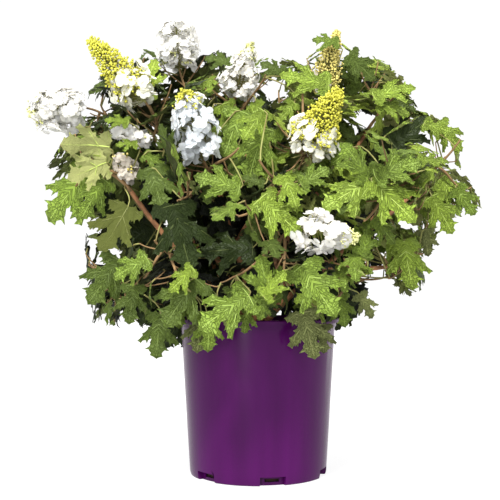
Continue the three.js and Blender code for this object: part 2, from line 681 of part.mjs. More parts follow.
function take(solid, owner) {
  taken.push({ solid, owner, box: solid.boundingBox() });
}

function boxesMeet(a, b) {
  return [0, 1, 2].every((axis) => a.min[axis] <= b.max[axis] && b.min[axis] <= a.max[axis]);
}

function touches(solid, spare) {
  const box = solid.boundingBox();
  return taken.some((other) => other.owner !== spare
    && boxesMeet(box, other.box)
    && solid.intersect(other.solid).volume() > 0);
}

function outlineHeight(heights, x) {
  const place = x / OUTLINE_STEP + (heights.length - 1) / 2;
  if (place < 0 || place > heights.length - 1) {
    return NaN;
  }
  const left = Math.min(Math.floor(place), heights.length - 2);
  return mix(heights[left], heights[left + 1], place - left);
}

function seenFromFront(point) {
  const scale = EYE_DISTANCE / (EYE_DISTANCE + point.y);
  return [point.x * scale, EYE_HEIGHT + (point.z - EYE_HEIGHT) * scale];
}

function placeInView(x, height, y) {
  const scale = (EYE_DISTANCE + y) / EYE_DISTANCE;
  return new THREE.Vector3(x * scale, y, EYE_HEIGHT + (height - EYE_HEIGHT) * scale);
}

function insideCrown(point) {
  const [x, height] = seenFromFront(point);
  const under = height <= outlineHeight(OUTLINE_TOP, x) + OUTLINE_SLACK;
  const over = height >= outlineHeight(OUTLINE_FOOT, x) - OUTLINE_SLACK;
  const rise = (point.z - CROWN_MIDDLE_HEIGHT) / CROWN_REACH.z;
  const depth = point.y / CROWN_REACH.y;
  const width = point.x / CROWN_REACH.x;
  return under && over && rise * rise + depth * depth < 1 && width * width + depth * depth < 1.1;
}

// A leaf between the eye and a panicle would hide it
function hidesPanicle(point) {
  const [x, height] = seenFromFront(point);
  const seen = new THREE.Vector3(x, 0, height);
  return PANICLE_LANES.some(({ line, depth, radius }) => point.y < depth
    && line.closestPointToPoint(seen, true, new THREE.Vector3()).distanceTo(seen) < radius);
}

function inGap(point) {
  const [x, height] = seenFromFront(point);
  return GAPS.some(([gapX, gapHeight, radius]) => Math.hypot(x - gapX, height - gapHeight) < radius);
}

function insideSpace(point, mass) {
  return mass.walls.every(({ middle, way }) => point.clone().sub(middle).dot(way) < SPACE_SLACK);
}

function bladeSamples(pose) {
  const place = placeOnLeaf(pose);
  const edge = leafEdge(place);
  const middle = place(LEAF_MIDDLE, 0);
  const inner = edge.map((point) => point.clone().lerp(middle, 0.5));
  return [...edge, ...inner, middle, pose.foot];
}

function leafFits(pose, mass, isPlaced) {
  const samples = bladeSamples(pose);
  const isOutside = (point) => !insideCrown(point) || !insideSpace(point, mass) || hidesPanicle(point);
  if (samples.some(inGap) || (!isPlaced && samples.some(isOutside))) {
    return false;
  }
  return !touches(makeBladeGuard(pose), null) && !touches(makeStalkGuard(pose), mass.twigs);
}

// Twigs of a mass. The first carries on from the limb, the others leave the first one.
function shootEnd(goal) {
  if (typeof goal !== "string") {
    return { end: new THREE.Vector3(...goal), endWay: null };
  }
  const [base, tip] = PANICLES[goal];
  const end = new THREE.Vector3(...base);
  const endWay = new THREE.Vector3(...tip).sub(end).normalize();
  return { end: end.clone().addScaledVector(endWay, 6), endWay };
}

function layShoot(mass, limb, goal, order, attempt) {
  const random = randomSource(seedOf(mass.index, order, 900, attempt));
  const { end, endWay } = shootEnd(goal);
  const stem = mass.shoots[0];
  const limbWay = limb.curve.getTangentAt(1);
  const share = 0.22 + 0.2 * order;
  const start = stem
    ? insideStem(stem.curve, TWIG_STEPS, share)
    : pastEnd(limb.curve.getPointAt(1), limbWay);
  const along = end.clone().sub(start).normalize();
  const startWay = stem ? stem.curve.getTangentAt(share).multiplyScalar(0.3).add(along) : limbWay.clone();
  startWay.addScaledVector(randomVector(random), stem ? 0.3 * attempt : 0).normalize();
  const arriveWay = (endWay ?? along.addScaledVector(UP, 0.3)).clone();
  arriveWay.addScaledVector(randomVector(random), 0.25 * attempt).normalize();
  const curve = arc(start, startWay, end, arriveWay);
  const startRadius = stem ? mix(limb.endRadius, TWIG_TIP_RADIUS, 0.5) : limb.endRadius;
  const length = curve.getLength();
  const bareEnd = endWay ? PANICLE_BARE_END : ROSETTE_BARE_END;
  const pairs = THREE.MathUtils.clamp(Math.ceil((0.85 * length - bareEnd) / INTERNODE), 1, MOST_PAIRS);
  const nodes = Array.from({ length: pairs }, (_, pair) => 1 - (bareEnd + pair * INTERNODE) / length);
  return { order, curve, startRadius, nodes, phase: random() * Math.PI };
}

function twigSolid(shoot, grow) {
  return taperedStem(shoot.curve, shoot.startRadius + grow, TWIG_TIP_RADIUS + grow, TWIG_SIDES, TWIG_STEPS);
}

function growTwigs(mass, limb) {
  for (const [order, goal] of mass.goals.entries()) {
    for (let attempt = 0; attempt < TWIG_TRIES; attempt += 1) {
      const shoot = layShoot(mass, limb, goal, order, attempt);
      const isStem = order === 0;
      const isClear = !touches(twigSolid(shoot, isStem ? 0.02 : CLEARANCE), mass.twigs);
      if (isClear) {
        const solid = twigSolid(shoot, 0);
        mass.shoots.push(shoot);
        mass.pieces.push(solid);
        take(solid, mass.twigs);
        if (typeof goal === "string") {
          mass.pieces.push(makePanicle(goal, 0));
        }
        break;
      }
    }
  }
}

function growLeaf(mass, isPlaced, poseAt) {
  for (let attempt = 0; attempt < LEAF_TRIES; attempt += 1) {
    const pose = poseAt(attempt);
    if (leafFits(pose, mass, isPlaced)) {
      const leaf = makeLeaf(pose);
      mass.pieces.push(leaf);
      take(leaf, mass.name);
      return;
    }
  }
}

function growPlacedLeaves(mass) {
  for (const [order, row] of PLACED_LEAVES.entries()) {
    if (row[0] === mass.name) {
      growLeaf(mass, true, (attempt) => {
        const random = randomSource(seedOf(800, order, attempt));
        return posePlacedLeaf(mass, row, attempt, random);
      });
    }
  }
}

function growPairs(mass, node) {
  for (const shoot of mass.shoots) {
    for (let side = 0; node < shoot.nodes.length && side < 2; side += 1) {
      growLeaf(mass, false, (attempt) => {
        const random = randomSource(seedOf(mass.index, shoot.order, node, side, attempt));
        return poseShootLeaf(shoot, node, side, attempt, random);
      });
    }
  }
}

// The walls between a mass's space and its neighbours' lie half way between their middles
function massList() {
  const masses = MASSES.map(([name, limb, goals], index) => {
    const ends = goals.map((goal) => shootEnd(goal).end);
    const middle = ends.reduce((sum, end) => sum.add(end), new THREE.Vector3()).divideScalar(ends.length);
    return { name, twigs: `${name} twigs`, limb, goals, index, middle, shoots: [], pieces: [] };
  });
  for (const mass of masses) {
    mass.walls = masses.filter((other) => other !== mass).map((other) => ({
      middle: mass.middle.clone().lerp(other.middle, 0.5),
      way: other.middle.clone().sub(mass.middle).normalize(),
    }));
  }
  return masses;
}

function growMasses(limbs) {
  const masses = massList();
  take(turned([...potOutside(POT_GUARD), [0, POT_HEIGHT + POT_GUARD]], POT_SIDES), "pot");
  for (const limb of limbs.values()) {
    take(limb.solid, limb.name);
  }
  for (const mass of masses) {
    for (const goal of mass.goals.filter((each) => typeof each === "string")) {
      take(makePanicle(goal, 1), mass.twigs);
    }
  }
  for (const mass of masses) {
    growTwigs(mass, limbs.get(mass.limb));
  }
  for (const mass of masses) {
    growPlacedLeaves(mass);
  }
  for (let node = 0; node < MOST_PAIRS; node += 1) {
    for (const mass of masses) {
      growPairs(mass, node);
    }
  }
  return masses;
}

// Materials
function finish(color, roughness) {
  return new THREE.MeshStandardMaterial({ color, roughness, metalness: 0 });
}

const POT_PLASTIC = () => finish(0x5a235f, 0.42);
const SOIL = () => finish(0x2e2019, 0.95);
const BARK = () => finish(0x8a6a4a, 0.85);
const FOLIAGE = () => finish(0x6f8f3c, 0.7);

function piece(name, solid, material) {
  const mesh = new THREE.Mesh(toGeometry(solid), material);
  mesh.name = name;
  return mesh;
}

// Assembly
const caneTips = LIMBS.filter(([, parent]) => parent === "stem_base").map(([, , , tip]) => tip);
const forks = caneTips.map(forkOf);
const limbs = makeLimbs(forks);
const caneSockets = [...limbs.values()].filter(({ isCane }) => isCane).map(makeSocket);

const group = new THREE.Group();
group.add(piece("pot", makePot(), POT_PLASTIC()));
group.add(piece("soil", makeSoil(), SOIL()));
group.add(piece("stem_base", makeStemBase(forks, caneSockets), BARK()));
for (const limb of limbs.values()) {
  group.add(piece(limb.name, limb.solid, BARK()));
}
for (const mass of growMasses(limbs)) {
  const fused = largestPiece(wasm.Manifold.union(mass.pieces));
  group.add(piece(mass.name, fused, FOLIAGE()));
}

export default group;
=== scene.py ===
"""Looks of a flowering oakleaf hydrangea in its nursery pot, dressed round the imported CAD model.

Limbs keep to the CAD limbs. Twigs, leaves and blossom grow on from them by the growth rule of the CAD
source, written again here in millimetres and carried on to finer shoots. Meshes are in metres, +Z up.
"""

import bisect
import itertools
import math

import bmesh
import bpy
from mathutils import Matrix, Vector, noise
from mathutils.bvhtree import BVHTree


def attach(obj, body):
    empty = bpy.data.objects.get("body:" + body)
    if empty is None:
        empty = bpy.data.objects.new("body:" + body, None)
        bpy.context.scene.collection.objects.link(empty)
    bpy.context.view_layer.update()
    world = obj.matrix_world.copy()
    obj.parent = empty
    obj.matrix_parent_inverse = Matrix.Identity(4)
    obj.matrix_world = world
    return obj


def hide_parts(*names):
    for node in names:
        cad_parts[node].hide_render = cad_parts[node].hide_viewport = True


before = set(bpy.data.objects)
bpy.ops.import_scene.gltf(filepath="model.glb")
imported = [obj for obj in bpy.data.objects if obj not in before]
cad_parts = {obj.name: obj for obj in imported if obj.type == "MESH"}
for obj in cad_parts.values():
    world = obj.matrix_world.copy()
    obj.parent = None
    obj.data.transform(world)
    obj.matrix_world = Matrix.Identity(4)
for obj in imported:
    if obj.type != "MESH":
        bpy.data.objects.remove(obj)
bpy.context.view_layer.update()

MM = 0.001

# Driving dimensions of the pot, in millimetres
POT_HEIGHT = 254
RIM_RADIUS = 136
RIM_DEPTH = 6.5
COLLAR_RADIUS = 128.5
COLLAR_DEPTH = 7
BODY_TOP_RADIUS = 126.6
BODY_FOOT_RADIUS = 111.5
FOOT_CHAMFER = 3
POT_WALL = 2.4
POT_FLOOR = 3
POT_COLUMN_DEG = 3
NOTCHES = 6
NOTCH_FIRST_DEG = 11.5
NOTCH_WIDTH_DEG = 21
NOTCH_HEIGHT = 14
NOTCH_DEPTH = 9
SLOT_WIDTH_DEG = 13
SLOT_FOOT = 5
SLOT_HEIGHT = 5
POT_COLUMN_START_DEG = 1.0
NOTCH_FRAME_DEG = 2.4
SECTOR_STEPS = 8
RIM_ROUND = 1.5
EDGE_ROUND = 0.7
POLE_RADIUS = 0.5

# Driving dimensions of the soil, the stem base and the limbs
CLEARANCE = 0.3
SOIL_TOP = 229.5
SOIL_EDGE_DROP = 4
CROWN_RADIUS = 15
CROWN_FLARE = 25
CROWN_HEIGHT = 26
FORK_REACH = 30
FORK_RISE = 20
CANE_RADIUS = 5.2
CANE_TIP_RADIUS = 3.6
BOUGH_RADIUS = 3.9
BOUGH_TIP_RADIUS = 3.1
LIMB_STRETCH = 6
LIMB_SIDES = 12
BASE_SIDES = 24
BASE_VOXEL = 1.3

# The soil's rings and columns, its lumps (fineness, height) and the bark chips that lie on it
SOIL_RINGS = 24
SOIL_COLUMNS = 120
SOIL_LUMPS = ((90, 1.4), (260, 0.8))
SOIL_SIDE_PLAY = 0.15
CHIPS = 900
CHIP_SHAPES = 4
CHIP_SIZES = (2.5, 8)

# Driving dimensions of the foliage, as in the CAD source
TWIG_TIP_RADIUS = 2
TWIG_SIDES = 4
TWIG_STEPS = 3
LEAF_LENGTH = 118
LEAF_HALF_THICKNESS = 0.017
STALK_RADIUS = 1.25
ROOT_SHARE = 0.5
PANICLE_SIDES = 7
PANICLE_BARE_END = 18
ROSETTE_BARE_END = 5
INTERNODE = 44
MOST_PAIRS = 5
LEAF_TRIES = 12
TWIG_TRIES = 8
FIRST_TWIG_GAP = 0.02
SEED = 19

# Numbers that keep one kind of random draw apart from another
SHOOT_DRAW = 900
PLACED_LEAF_DRAW = 800
DEEP_LEAF_DRAW = 850
TONE_DRAW = 700
SIDE_SHOOT_DRAW = 600
LEAF_LOOKS_DRAW = 400
PANICLE_DRAW = 300
CHIP_DRAW = 70
CHIP_SHAPE_DRAW = 61
FLORET_SHAPE_DRAW = 51
LEAF_SHAPE_DRAW = 41

# The whole crown, and its outline as seen from the front by an eye at this distance and height
HEART = Vector((0, 0, 345))
CROWN_REACH = Vector((375, 312, 335))
CROWN_MIDDLE_HEIGHT = 430
EYE_DISTANCE = 1550
EYE_HEIGHT = 310
OUTLINE_STEP = 25
OUTLINE_TOP = [
    470, 506, 539, 600, 655, 655, 660, 698, 698, 682, 688, 702, 708, 707, 698, 688,
    692, 682, 672, 715, 725, 708, 688, 682, 672, 642, 594, 589, 561, 478, 440,
]
OUTLINE_FOOT = [
    440, 403, 431, 433, 250, 244, 237, 257, 192, 212, 204, 200, 227, 230, 250, 254,
    254, 245, 204, 190, 234, 240, 262, 370, 293, 290, 312, 393, 403, 423, 440,
]
OUTLINE_SLACK = 5
SPACE_SLACK = 34

# Gaps where the sky shows through the crown, as seen from the front: x, height, radius
GAPS = [
    (31, 633, 15),
    (182, 583, 13),
    (-243, 362, 13),
    (-262, 601, 12),
    (277, 551, 9),
    (311, 524, 10),
    (246, 412, 11),
]

UP = Vector((0, 0, 1))
RIGHT = Vector((1, 0, 0))

# Lanes that stay open from the eye to the panicles, to the leaves that have their own places, and to the
# stretches of limb that show: width for their size, the stretches, and the room beside a limb
LANE_SHARE = 0.85
LEAF_LANE_SHARE = 0.52
SHOWN_LIMBS = {"cane_left": (0.72, 1.0)}
SHOWN_LIMB_ROOM = 9

# Canes rise from the stem base, boughs leave a cane part of the way up: name, parent, share of the way, tip
LIMBS = [
    ("cane_left", "stem_base", 0, (-196, -118, 452)),
    ("cane_upper_left", "stem_base", 0, (-150, -48, 528)),
    ("cane_centre", "stem_base", 0, (-60, -104, 452)),
    ("cane_top", "stem_base", 0, (-22, 34, 560)),
    ("cane_upper_right", "stem_base", 0, (82, -62, 505)),
    ("cane_right", "stem_base", 0, (182, -96, 415)),
    ("cane_front", "stem_base", 0, (24, -146, 345)),
    ("cane_back_left", "stem_base", 0, (-140, 140, 430)),
    ("cane_back_right", "stem_base", 0, (145, 140, 440)),
    ("cane_back", "stem_base", 0, (0, 190, 420)),
    ("bough_left_low", "cane_left", 0.42, (-195, -52, 318)),
    ("bough_front_left", "cane_left", 0.5, (-120, -172, 345)),
    ("bough_left_high", "cane_upper_left", 0.68, (-212, -30, 548)),
    ("bough_top_left", "cane_upper_left", 0.62, (-112, 66, 605)),
    ("bough_front_centre", "cane_centre", 0.55, (18, -150, 452)),
    ("bough_right_top", "cane_upper_right", 0.55, (182, 6, 565)),
    ("bough_right_tip", "cane_right", 0.66, (262, -38, 470)),
    ("bough_right_low", "cane_right", 0.5, (206, -52, 338)),
    ("bough_front_right", "cane_front", 0.5, (112, -160, 318)),
    ("bough_back_left_low", "cane_back_left", 0.45, (-165, 128, 312)),
    ("bough_back_right_low", "cane_back_right", 0.45, (165, 132, 318)),
    ("bough_back_top", "cane_top", 0.6, (36, 128, 588)),
    ("bough_back_low", "cane_back", 0.45, (4, 196, 305)),
]

# Panicles of blossom: base, tip, radius of the base, radius near the tip
PANICLES = {
    "cone_far_left": ((-176, -120, 592), (-258, -128, 684), 34, 13),
    "white_left": ((-284, -66, 592), (-362, -90, 584), 37, 30),
    "white_top": ((-138, 82, 690), (-144, 76, 774), 36, 31),
    "pointed_top": ((-40, 42, 634), (-12, 38, 722), 35, 10),
    "white_centre": ((-84, -156, 498), (-110, -176, 596), 33, 22),
    "small_left": ((-168, -120, 532), (-218, -136, 542), 14, 11),
    "faded_left": ((-188, -134, 472), (-214, -142, 500), 18, 14),
    "cone_right": ((70, -158, 508), (118, -182, 596), 39, 13),
    "spike_right": ((108, 4, 630), (133, 0, 733), 27, 8),
    "white_front": ((58, -222, 388), (138, -236, 374), 36, 13),
}

# What each panicle bears: petal tone, florets' share of its way from and to, how many, their width,
# bud tone, buds' share of its way from and to, how many
PANICLE_LOOKS = {
    "cone_far_left": ("cream", 0.0, 0.42, 50, 20, "lime_bud", 0.12, 1.0, 1300),
    "white_left": ("white", 0.0, 0.92, 112, 20, "pale_bud", 0.7, 1.0, 120),
    "white_top": ("white", 0.0, 0.98, 102, 20, "pale_bud", 0.0, 0.25, 50),
    "pointed_top": ("blush", 0.0, 0.86, 86, 18, "pale_bud", 0.7, 1.0, 260),
    "white_centre": ("cool", 0.0, 0.88, 104, 20, "lime_bud", 0.72, 1.0, 170),
    "small_left": ("blush", 0.0, 1.0, 26, 18, "pale_bud", 0.0, 0.3, 20),
    "faded_left": ("faded", 0.0, 1.0, 26, 17, "tan_bud", 0.0, 1.0, 40),
    "cone_right": ("cream", 0.0, 0.42, 58, 20, "lime_bud", 0.15, 1.0, 1300),
    "spike_right": ("faded", 0.0, 0.25, 10, 15, "tan_bud", 0.0, 1.0, 1000),
    "white_front": ("blush", 0.0, 0.85, 48, 20, "pale_bud", 0.75, 1.0, 240),
}

# Masses of foliage: the limb that each grows on, where its shoots go, and the tone of most of its leaves,
# which is partly the leaves' own and partly painted light and painted shade.
# The first shoot is its stem. A shoot ends in a rosette of leaves at a point, or in a panicle.
MASSES = [
    ("left", "cane_left", [(-300, -146, 520), "faded_left", (-285, -98, 462)], "mid"),
    ("left_low", "bough_left_low", [(-250, -80, 332), (-222, -110, 286), (-180, -150, 300)], "deep"),
    ("front_left", "bough_front_left", [(-150, -215, 372), (-105, -228, 306), (-168, -190, 318)], "deep"),
    ("upper_left", "cane_upper_left", ["cone_far_left", "small_left", (-196, -60, 640)], "dark"),
    ("left_high", "bough_left_high", ["white_left", (-262, -4, 608), (-262, 70, 540)], "deep"),
    ("top_left", "bough_top_left", ["white_top", (-176, 96, 634), (-84, 128, 640)], "dark"),
    ("centre", "cane_centre", ["white_centre", (-118, -205, 430), (-30, -212, 505)], "mid"),
    ("front_centre", "bough_front_centre", [(44, -232, 440), (0, -225, 486), (-30, -232, 405)], "mid"),
    ("top", "cane_top", ["pointed_top", (12, -40, 650), (-82, 10, 640)], "mid"),
    ("upper_right", "cane_upper_right", ["cone_right", "spike_right", (70, -70, 640)], "fresh"),
    ("right_top", "bough_right_top", [(232, -24, 632), (178, 40, 668), (262, 60, 590)], "fresh"),
    ("right", "cane_right", [(190, -208, 470), (238, -170, 420), (150, -215, 400)], "bright"),
    ("right_tip", "bough_right_tip", [(322, -70, 540), (332, -40, 462), (292, 70, 500)], "fresh"),
    ("right_low", "bough_right_low", [(246, -100, 352), (196, -140, 318), (258, 10, 360)], "fresh"),
    ("front", "cane_front", ["white_front", (-36, -222, 320), (34, -228, 316)], "mid"),
    ("front_right", "bough_front_right", [(158, -206, 326), (98, -216, 274), (120, -226, 346)], "fresh"),
    ("back_left", "cane_back_left", [(-205, 190, 500), (-130, 232, 486), (-232, 150, 420)], "mid"),
    ("back_left_low", "bough_back_left_low", [(-236, 120, 316), (-150, 206, 300)], "deep"),
    ("back_right", "cane_back_right", [(215, 180, 505), (135, 236, 492), (240, 130, 425)], "mid"),
    ("back_right_low", "bough_back_right_low", [(232, 136, 322), (150, 206, 306)], "deep"),
    ("back", "cane_back", [(0, 262, 430), (-66, 240, 545), (68, 240, 545)], "mid"),
    ("back_top", "bough_back_top", [(40, 168, 668), (-44, 196, 620), (122, 150, 640)], "mid"),
    ("back_low", "bough_back_low", [(-58, 246, 300), (66, 246, 306)], "deep"),
]

# Leaves with a place of their own: mass, foot of the blade as seen from the front (x, height) and its
# depth y, the way the blade points in that view in degrees (0 right, 90 up), its lean towards the eye,
# how far it faces up, the side that the eye sees (1 upper, -1 under), length, tone. Their tones are partly
# the leaves' own and partly painted light and painted shade.
PLACED_LEAVES = [
    ("left", (-249, 536, -140), 186, 8, 0.5, -1, 80, "fresh"),
    ("left", (-254, 506, -135), 206, 0, 0.3, -1, 74, "fresh"),
    ("left", (-284, 496, -96), 226, -5, 0.7, 1, 104, "mid"),
    ("left", (-258, 484, -120), 238, 5, 0.5, 1, 70, "mid"),
    ("left", (-218, 438, -168), 241, 8, 0.2, -1, 80, "olive"),
    ("left", (-256, 605, -40), 120, 5, 0.6, 1, 55, "deep"),
    ("left_low", (-232, 350, -110), 236, 10, 0.4, 1, 84, "deep"),
    ("left_low", (-208, 318, -135), 262, 0, 0.3, 1, 78, "deep"),
    ("left_low", (-163, 260, -165), 264, 5, 0.1, 1, 66, "deep"),
    ("front_left", (-143, 440, -205), 284, 15, 0.6, 1, 106, "dark"),
    ("front_left", (-186, 350, -205), 204, 10, 0.5, 1, 60, "mid"),
    ("front_left", (-104, 318, -212), 236, 10, 0.4, 1, 84, "deep"),
    ("front_left", (-96, 262, -165), 265, 5, 0.2, 1, 60, "olive"),
    ("centre", (-179, 503, -190), 285, 15, 0.6, 1, 68, "deep"),
    ("centre", (-32, 468, -205), 162, 8, 0.6, 1, 70, "mid"),
    ("centre", (-30, 599, -130), 250, 15, 0.5, 1, 80, "mid"),
    ("front_centre", (7, 569, -150), 256, 20, 0.5, 1, 86, "mid"),
    ("front_centre", (-10, 370, -195), 192, 10, 0.5, 1, 86, "dark"),
    ("front_centre", (0, 450, -220), 318, 15, 0.7, 1, 84, "bright"),
    ("front", (-17, 290, -240), 212, 12, 0.5, 1, 86, "mid"),
    ("front", (14, 278, -228), 96, 12, 0.7, 1, 70, "mid"),
    ("front", (70, 340, -238), 304, 12, 0.5, 1, 86, "mid"),
    ("front", (73, 264, -158), 284, -6, 0.1, 1, 76, "olive"),
    ("front_right", (144, 373, -212), 280, 8, 0.5, 1, 94, "fresh"),
    ("front_right", (133, 290, -128), 285, 0, 0.3, 1, 50, "mid"),
    ("upper_right", (118, 640, -70), 168, 10, 0.6, 1, 84, "bright"),
    ("upper_right", (134, 713, -22), 172, 8, 0.6, 1, 44, "mid"),
    ("upper_right", (160, 560, -70), 118, 5, 0.5, 1, 66, "deep"),
    ("right_top", (193, 622, -55), 18, 5, 0.9, 1, 70, "bright"),
    ("right_top", (199, 612, -40), 332, 5, 0.7, 1, 66, "bright"),
    ("right_top", (151, 692, 10), 320, 5, 0.5, 1, 62, "deep"),
    ("right_top", (168, 632, 30), 98, 0, 0.4, 1, 72, "deep"),
    ("right", (183, 478, -215), 206, 18, 0.8, 1, 80, "bright"),
    ("right", (187, 480, -216), 320, 18, 0.8, 1, 90, "bright"),
    ("right", (190, 484, -212), 24, 10, 0.7, 1, 84, "bright"),
    ("right", (183, 486, -210), 122, 8, 0.7, 1, 68, "mid"),
    ("right_tip", (277, 569, -25), 322, 5, 0.6, 1, 70, "bright"),
    ("right_tip", (302, 486, -45), 326, 8, 0.5, 1, 72, "bright"),
    ("right_tip", (289, 455, -60), 300, 5, 0.5, 1, 68, "bright"),
    ("right_low", (241, 390, -122), 278, 5, 0.2, 1, 97, "bright"),
    ("right_tip", (299, 571, -46), 306, 5, 0.5, 1, 74, "bright"),
    ("right_tip", (329, 469, -50), 306, 5, 0.4, 1, 53, "mid"),
    ("right_tip", (275, 556, -40), 285, 5, 0.4, 1, 53, "deep"),
    ("right_low", (275, 400, -100), 279, 0, 0.2, 1, 43, "olive"),
    ("right_low", (189, 416, -190), 316, 10, 0.6, 1, 48, "mid"),
    ("right", (193, 489, -225), 21, 12, 0.7, 1, 69, "mid"),
    ("right", (156, 536, -170), 216, 8, 0.5, 1, 43, "mid"),
    ("right_top", (201, 609, -70), 288, 5, 0.4, 1, 50, "bright"),
    ("right_top", (229, 599, -60), 297, 5, 0.4, 1, 57, "deep"),
    ("top", (43, 659, -20), 148, 5, 0.5, 1, 45, "deep"),
    ("centre", (-62, 612, -128), 293, 10, 0.5, 1, 66, "bright"),
    ("front_centre", (8, 599, -185), 234, 15, 0.5, 1, 55, "bright"),
    ("top_left", (-43, 678, 60), 160, 5, 0.5, 1, 55, "deep"),
    ("top", (60, 612, -90), 229, 10, 0.6, 1, 38, "bright"),
    ("upper_left", (-194, 622, -88), 74, 0, 0.4, 1, 66, "fresh"),
    ("upper_left", (-217, 579, -150), 168, 8, 0.7, 1, 38, "bright"),
    ("left", (-203, 543, -142), 176, 10, 0.8, 1, 36, "bright"),
    ("centre", (-192, 524, -150), 335, 10, 0.8, 1, 38, "mid"),
    ("front_left", (-129, 378, -218), 323, 10, 0.6, 1, 38, "mid"),
    ("front_left", (-110, 333, -226), 214, 12, 0.7, 1, 50, "bright"),
    ("front_left", (-124, 273, -195), 262, 5, 0.3, 1, 53, "mid"),
    ("front_left", (-86, 260, -178), 272, 5, 0.3, 1, 56, "mid"),
    ("front", (7, 287, -236), 51, 12, 0.7, 1, 55, "bright"),
    ("front", (8, 285, -225), 267, 5, 0.4, 1, 33, "mid"),
    ("front", (-17, 269, -195), 258, 5, 0.3, 1, 36, "mid"),
    ("front", (105, 247, -150), 281, -4, 0.1, 1, 52, "olive"),
    ("front_right", (166, 293, -190), 302, 5, 0.3, 1, 40, "olive"),
    ("front_centre", (70, 395, -215), 224, 8, 0.4, 1, 60, "dark"),
    ("front_centre", (41, 489, -225), 294, 15, 0.5, 1, 54, "bright"),
    ("front", (88, 426, -215), 96, 0, 0.3, -1, 43, "olive"),
    ("right", (146, 428, -210), 149, 8, 0.5, 1, 45, "deep"),
    ("front_centre", (8, 476, -210), 158, 8, 0.5, 1, 33, "deep"),
    ("front_centre", (70, 476, -205), 32, 8, 0.5, 1, 47, "mid"),
]

# The CAD leaf's right edge, from stalk to tip, in shares of its length, for testing the room it needs
LEAF_EDGE = [(0.1, 0.37), (0.32, 0.25), (0.56, 0.48), (0.74, 0.25)]
LEAF_MIDDLE = 0.42
GUARD_SWELL = 0.02
GUARD_MARGIN = 0.5
PANICLE_GUARD = 1
POT_GUARD = 1.2

# Finer growth, beyond the CAD source: rounds of side shoots with smaller leaves. For each round: the stems
# that it grows on, spacing along a stem, where it starts, shoot lengths, leaf length, pairs of leaves
FINER_ROUNDS = [
    {"on": ("twigs",), "spacing": 20, "from": 0.08, "lengths": (22, 62), "leaf": 90, "pairs": 2},
    {"on": ("limb",), "spacing": 20, "from": 0.3, "lengths": (40, 120), "leaf": 96, "pairs": 3},
    {"on": ("limb", "twigs"), "spacing": 13, "from": 0.15, "lengths": (16, 90), "leaf": 80, "pairs": 3},
    {"on": ("limb", "twigs"), "spacing": 24, "from": 0.1, "lengths": (14, 70), "leaf": 60, "pairs": 2},
]
SIDE_SHOOT_RADIUS = 1.3
SIDE_SHOOT_LAST = 0.98
SIDE_SHOOT_TRIES = 6
SIDE_LEAF_TRIES = 8
SIDE_LEAVES_FROM = 0.2
SIDE_LEAVES_TO = 0.97
SIDE_INTERNODE = 26
SIDE_STALK_SHARE = 0.65

# A spray of leaves is painted a tone darker, as shade, for each of these depths that it lies within, and a
# tone off by chance
SHADE_DEPTHS = (0.8, 0.68, 0.56)
DARKER_BELOW = 0.22
LIGHTER_ABOVE = 0.76

# Leaves deep in the crown, where the sky would show through it: the spacing of the places that are tested,
# the crown's reach and foot as seen from a side, the leaf's length, its depths in the view
SKY_STEP = 6
SKY_MARGIN = 16
SKY_TURNS = (0, math.pi / 2, -math.pi / 2)
SIDE_REACH = (215, 210)
SIDE_FOOT = 285
SKY_BLADE_SWELL = -0.2
DEEP_LEAF = 84
DEEP_LEAF_SPACING = 0.25
DEEP_LEAF_DEPTHS = (90, 130, 50, 170, 10, 210, -40, -90)
DEEP_LEAF_TRIES = 3

# A leaf's veins on one side of its midrib, root and tip, in shares of its length: along it, out from it
BASAL_VEIN = ((0, 0), (0.05, 0.38))
SIDE_VEIN = ((0.22, 0), (0.64, 0.48))
END_VEIN = ((0.42, 0), (1, 0))

# The leaf is laid out in panels between a vein and the line that faces it. The line starts on the midrib,
# runs out to the notch between two lobes, and follows the teeth. It ends at the tip of the vein.
PANELS = [
    (BASAL_VEIN, [(0, 0), (-0.035, 0.06), (-0.065, 0.13), (-0.03, 0.19), (-0.06, 0.26), (-0.01, 0.31)]),
    (BASAL_VEIN, [(0.11, 0), (0.265, 0.165), (0.24, 0.215), (0.245, 0.29), (0.17, 0.285), (0.15, 0.35)]),
    (SIDE_VEIN, [(0.11, 0), (0.265, 0.165), (0.32, 0.27), (0.38, 0.27), (0.445, 0.385), (0.52, 0.38)]),
    (SIDE_VEIN, [(0.42, 0), (0.575, 0.145), (0.60, 0.205), (0.68, 0.26), (0.64, 0.315), (0.70, 0.39)]),
    (END_VEIN, [(0.42, 0), (0.575, 0.145), (0.69, 0.185), (0.81, 0.28), (0.835, 0.165), (0.93, 0.13)]),
]
PANEL_STEPS = 11
TOOTH_DEPTH = 0.22
POINT_PLAY = 0.02
BLADE_THICKNESS = 0.007
PUFF = 0.016
WAVE = 0.042
RIDGE = 0.0125
RIDGE_RISE = 0.005
WELD = 1e-5
SHARP_ANGLE = math.radians(75)
LEAF_BENDS = (0.08, 0.15, 0.22, 0.31)
SHAPES_PER_BEND = 3
PAIRED_LEAF_SHARE = 0.88

# Twigs and leaf stalks: points along them, and their radii where they end
SHOOT_POINTS = 12
TWIG_END_RADIUS = 1.5
SIDE_SHOOT_END_RADIUS = 0.9
STALK_POINTS = 6
STALK_RADII = (1.3, 0.95)

# The blossom: one sepal's outline in shares of the floret's width, and a bud's rings (radius, height)
SEPAL = [
    (0.02, 0.03), (0.15, 0.21), (0.34, 0.28), (0.49, 0.19), (0.53, 0.0),
    (0.49, -0.19), (0.34, -0.28), (0.15, -0.21), (0.02, -0.03),
]
SEPAL_MIDDLE = (0.3, 0)
SEPAL_THICKNESS = 0.025
FLORET_SHAPES = 4
BUD_PROFILE = [(0.9, -0.4), (0.8, 0.5)]
BUD_SIDES = 5
BUD_TIP = 1.15
BUDS_IN_CLUSTER = 9
BUDS_PER_STEM = 3
GOLDEN_TURN = math.pi * (3 - math.sqrt(5))

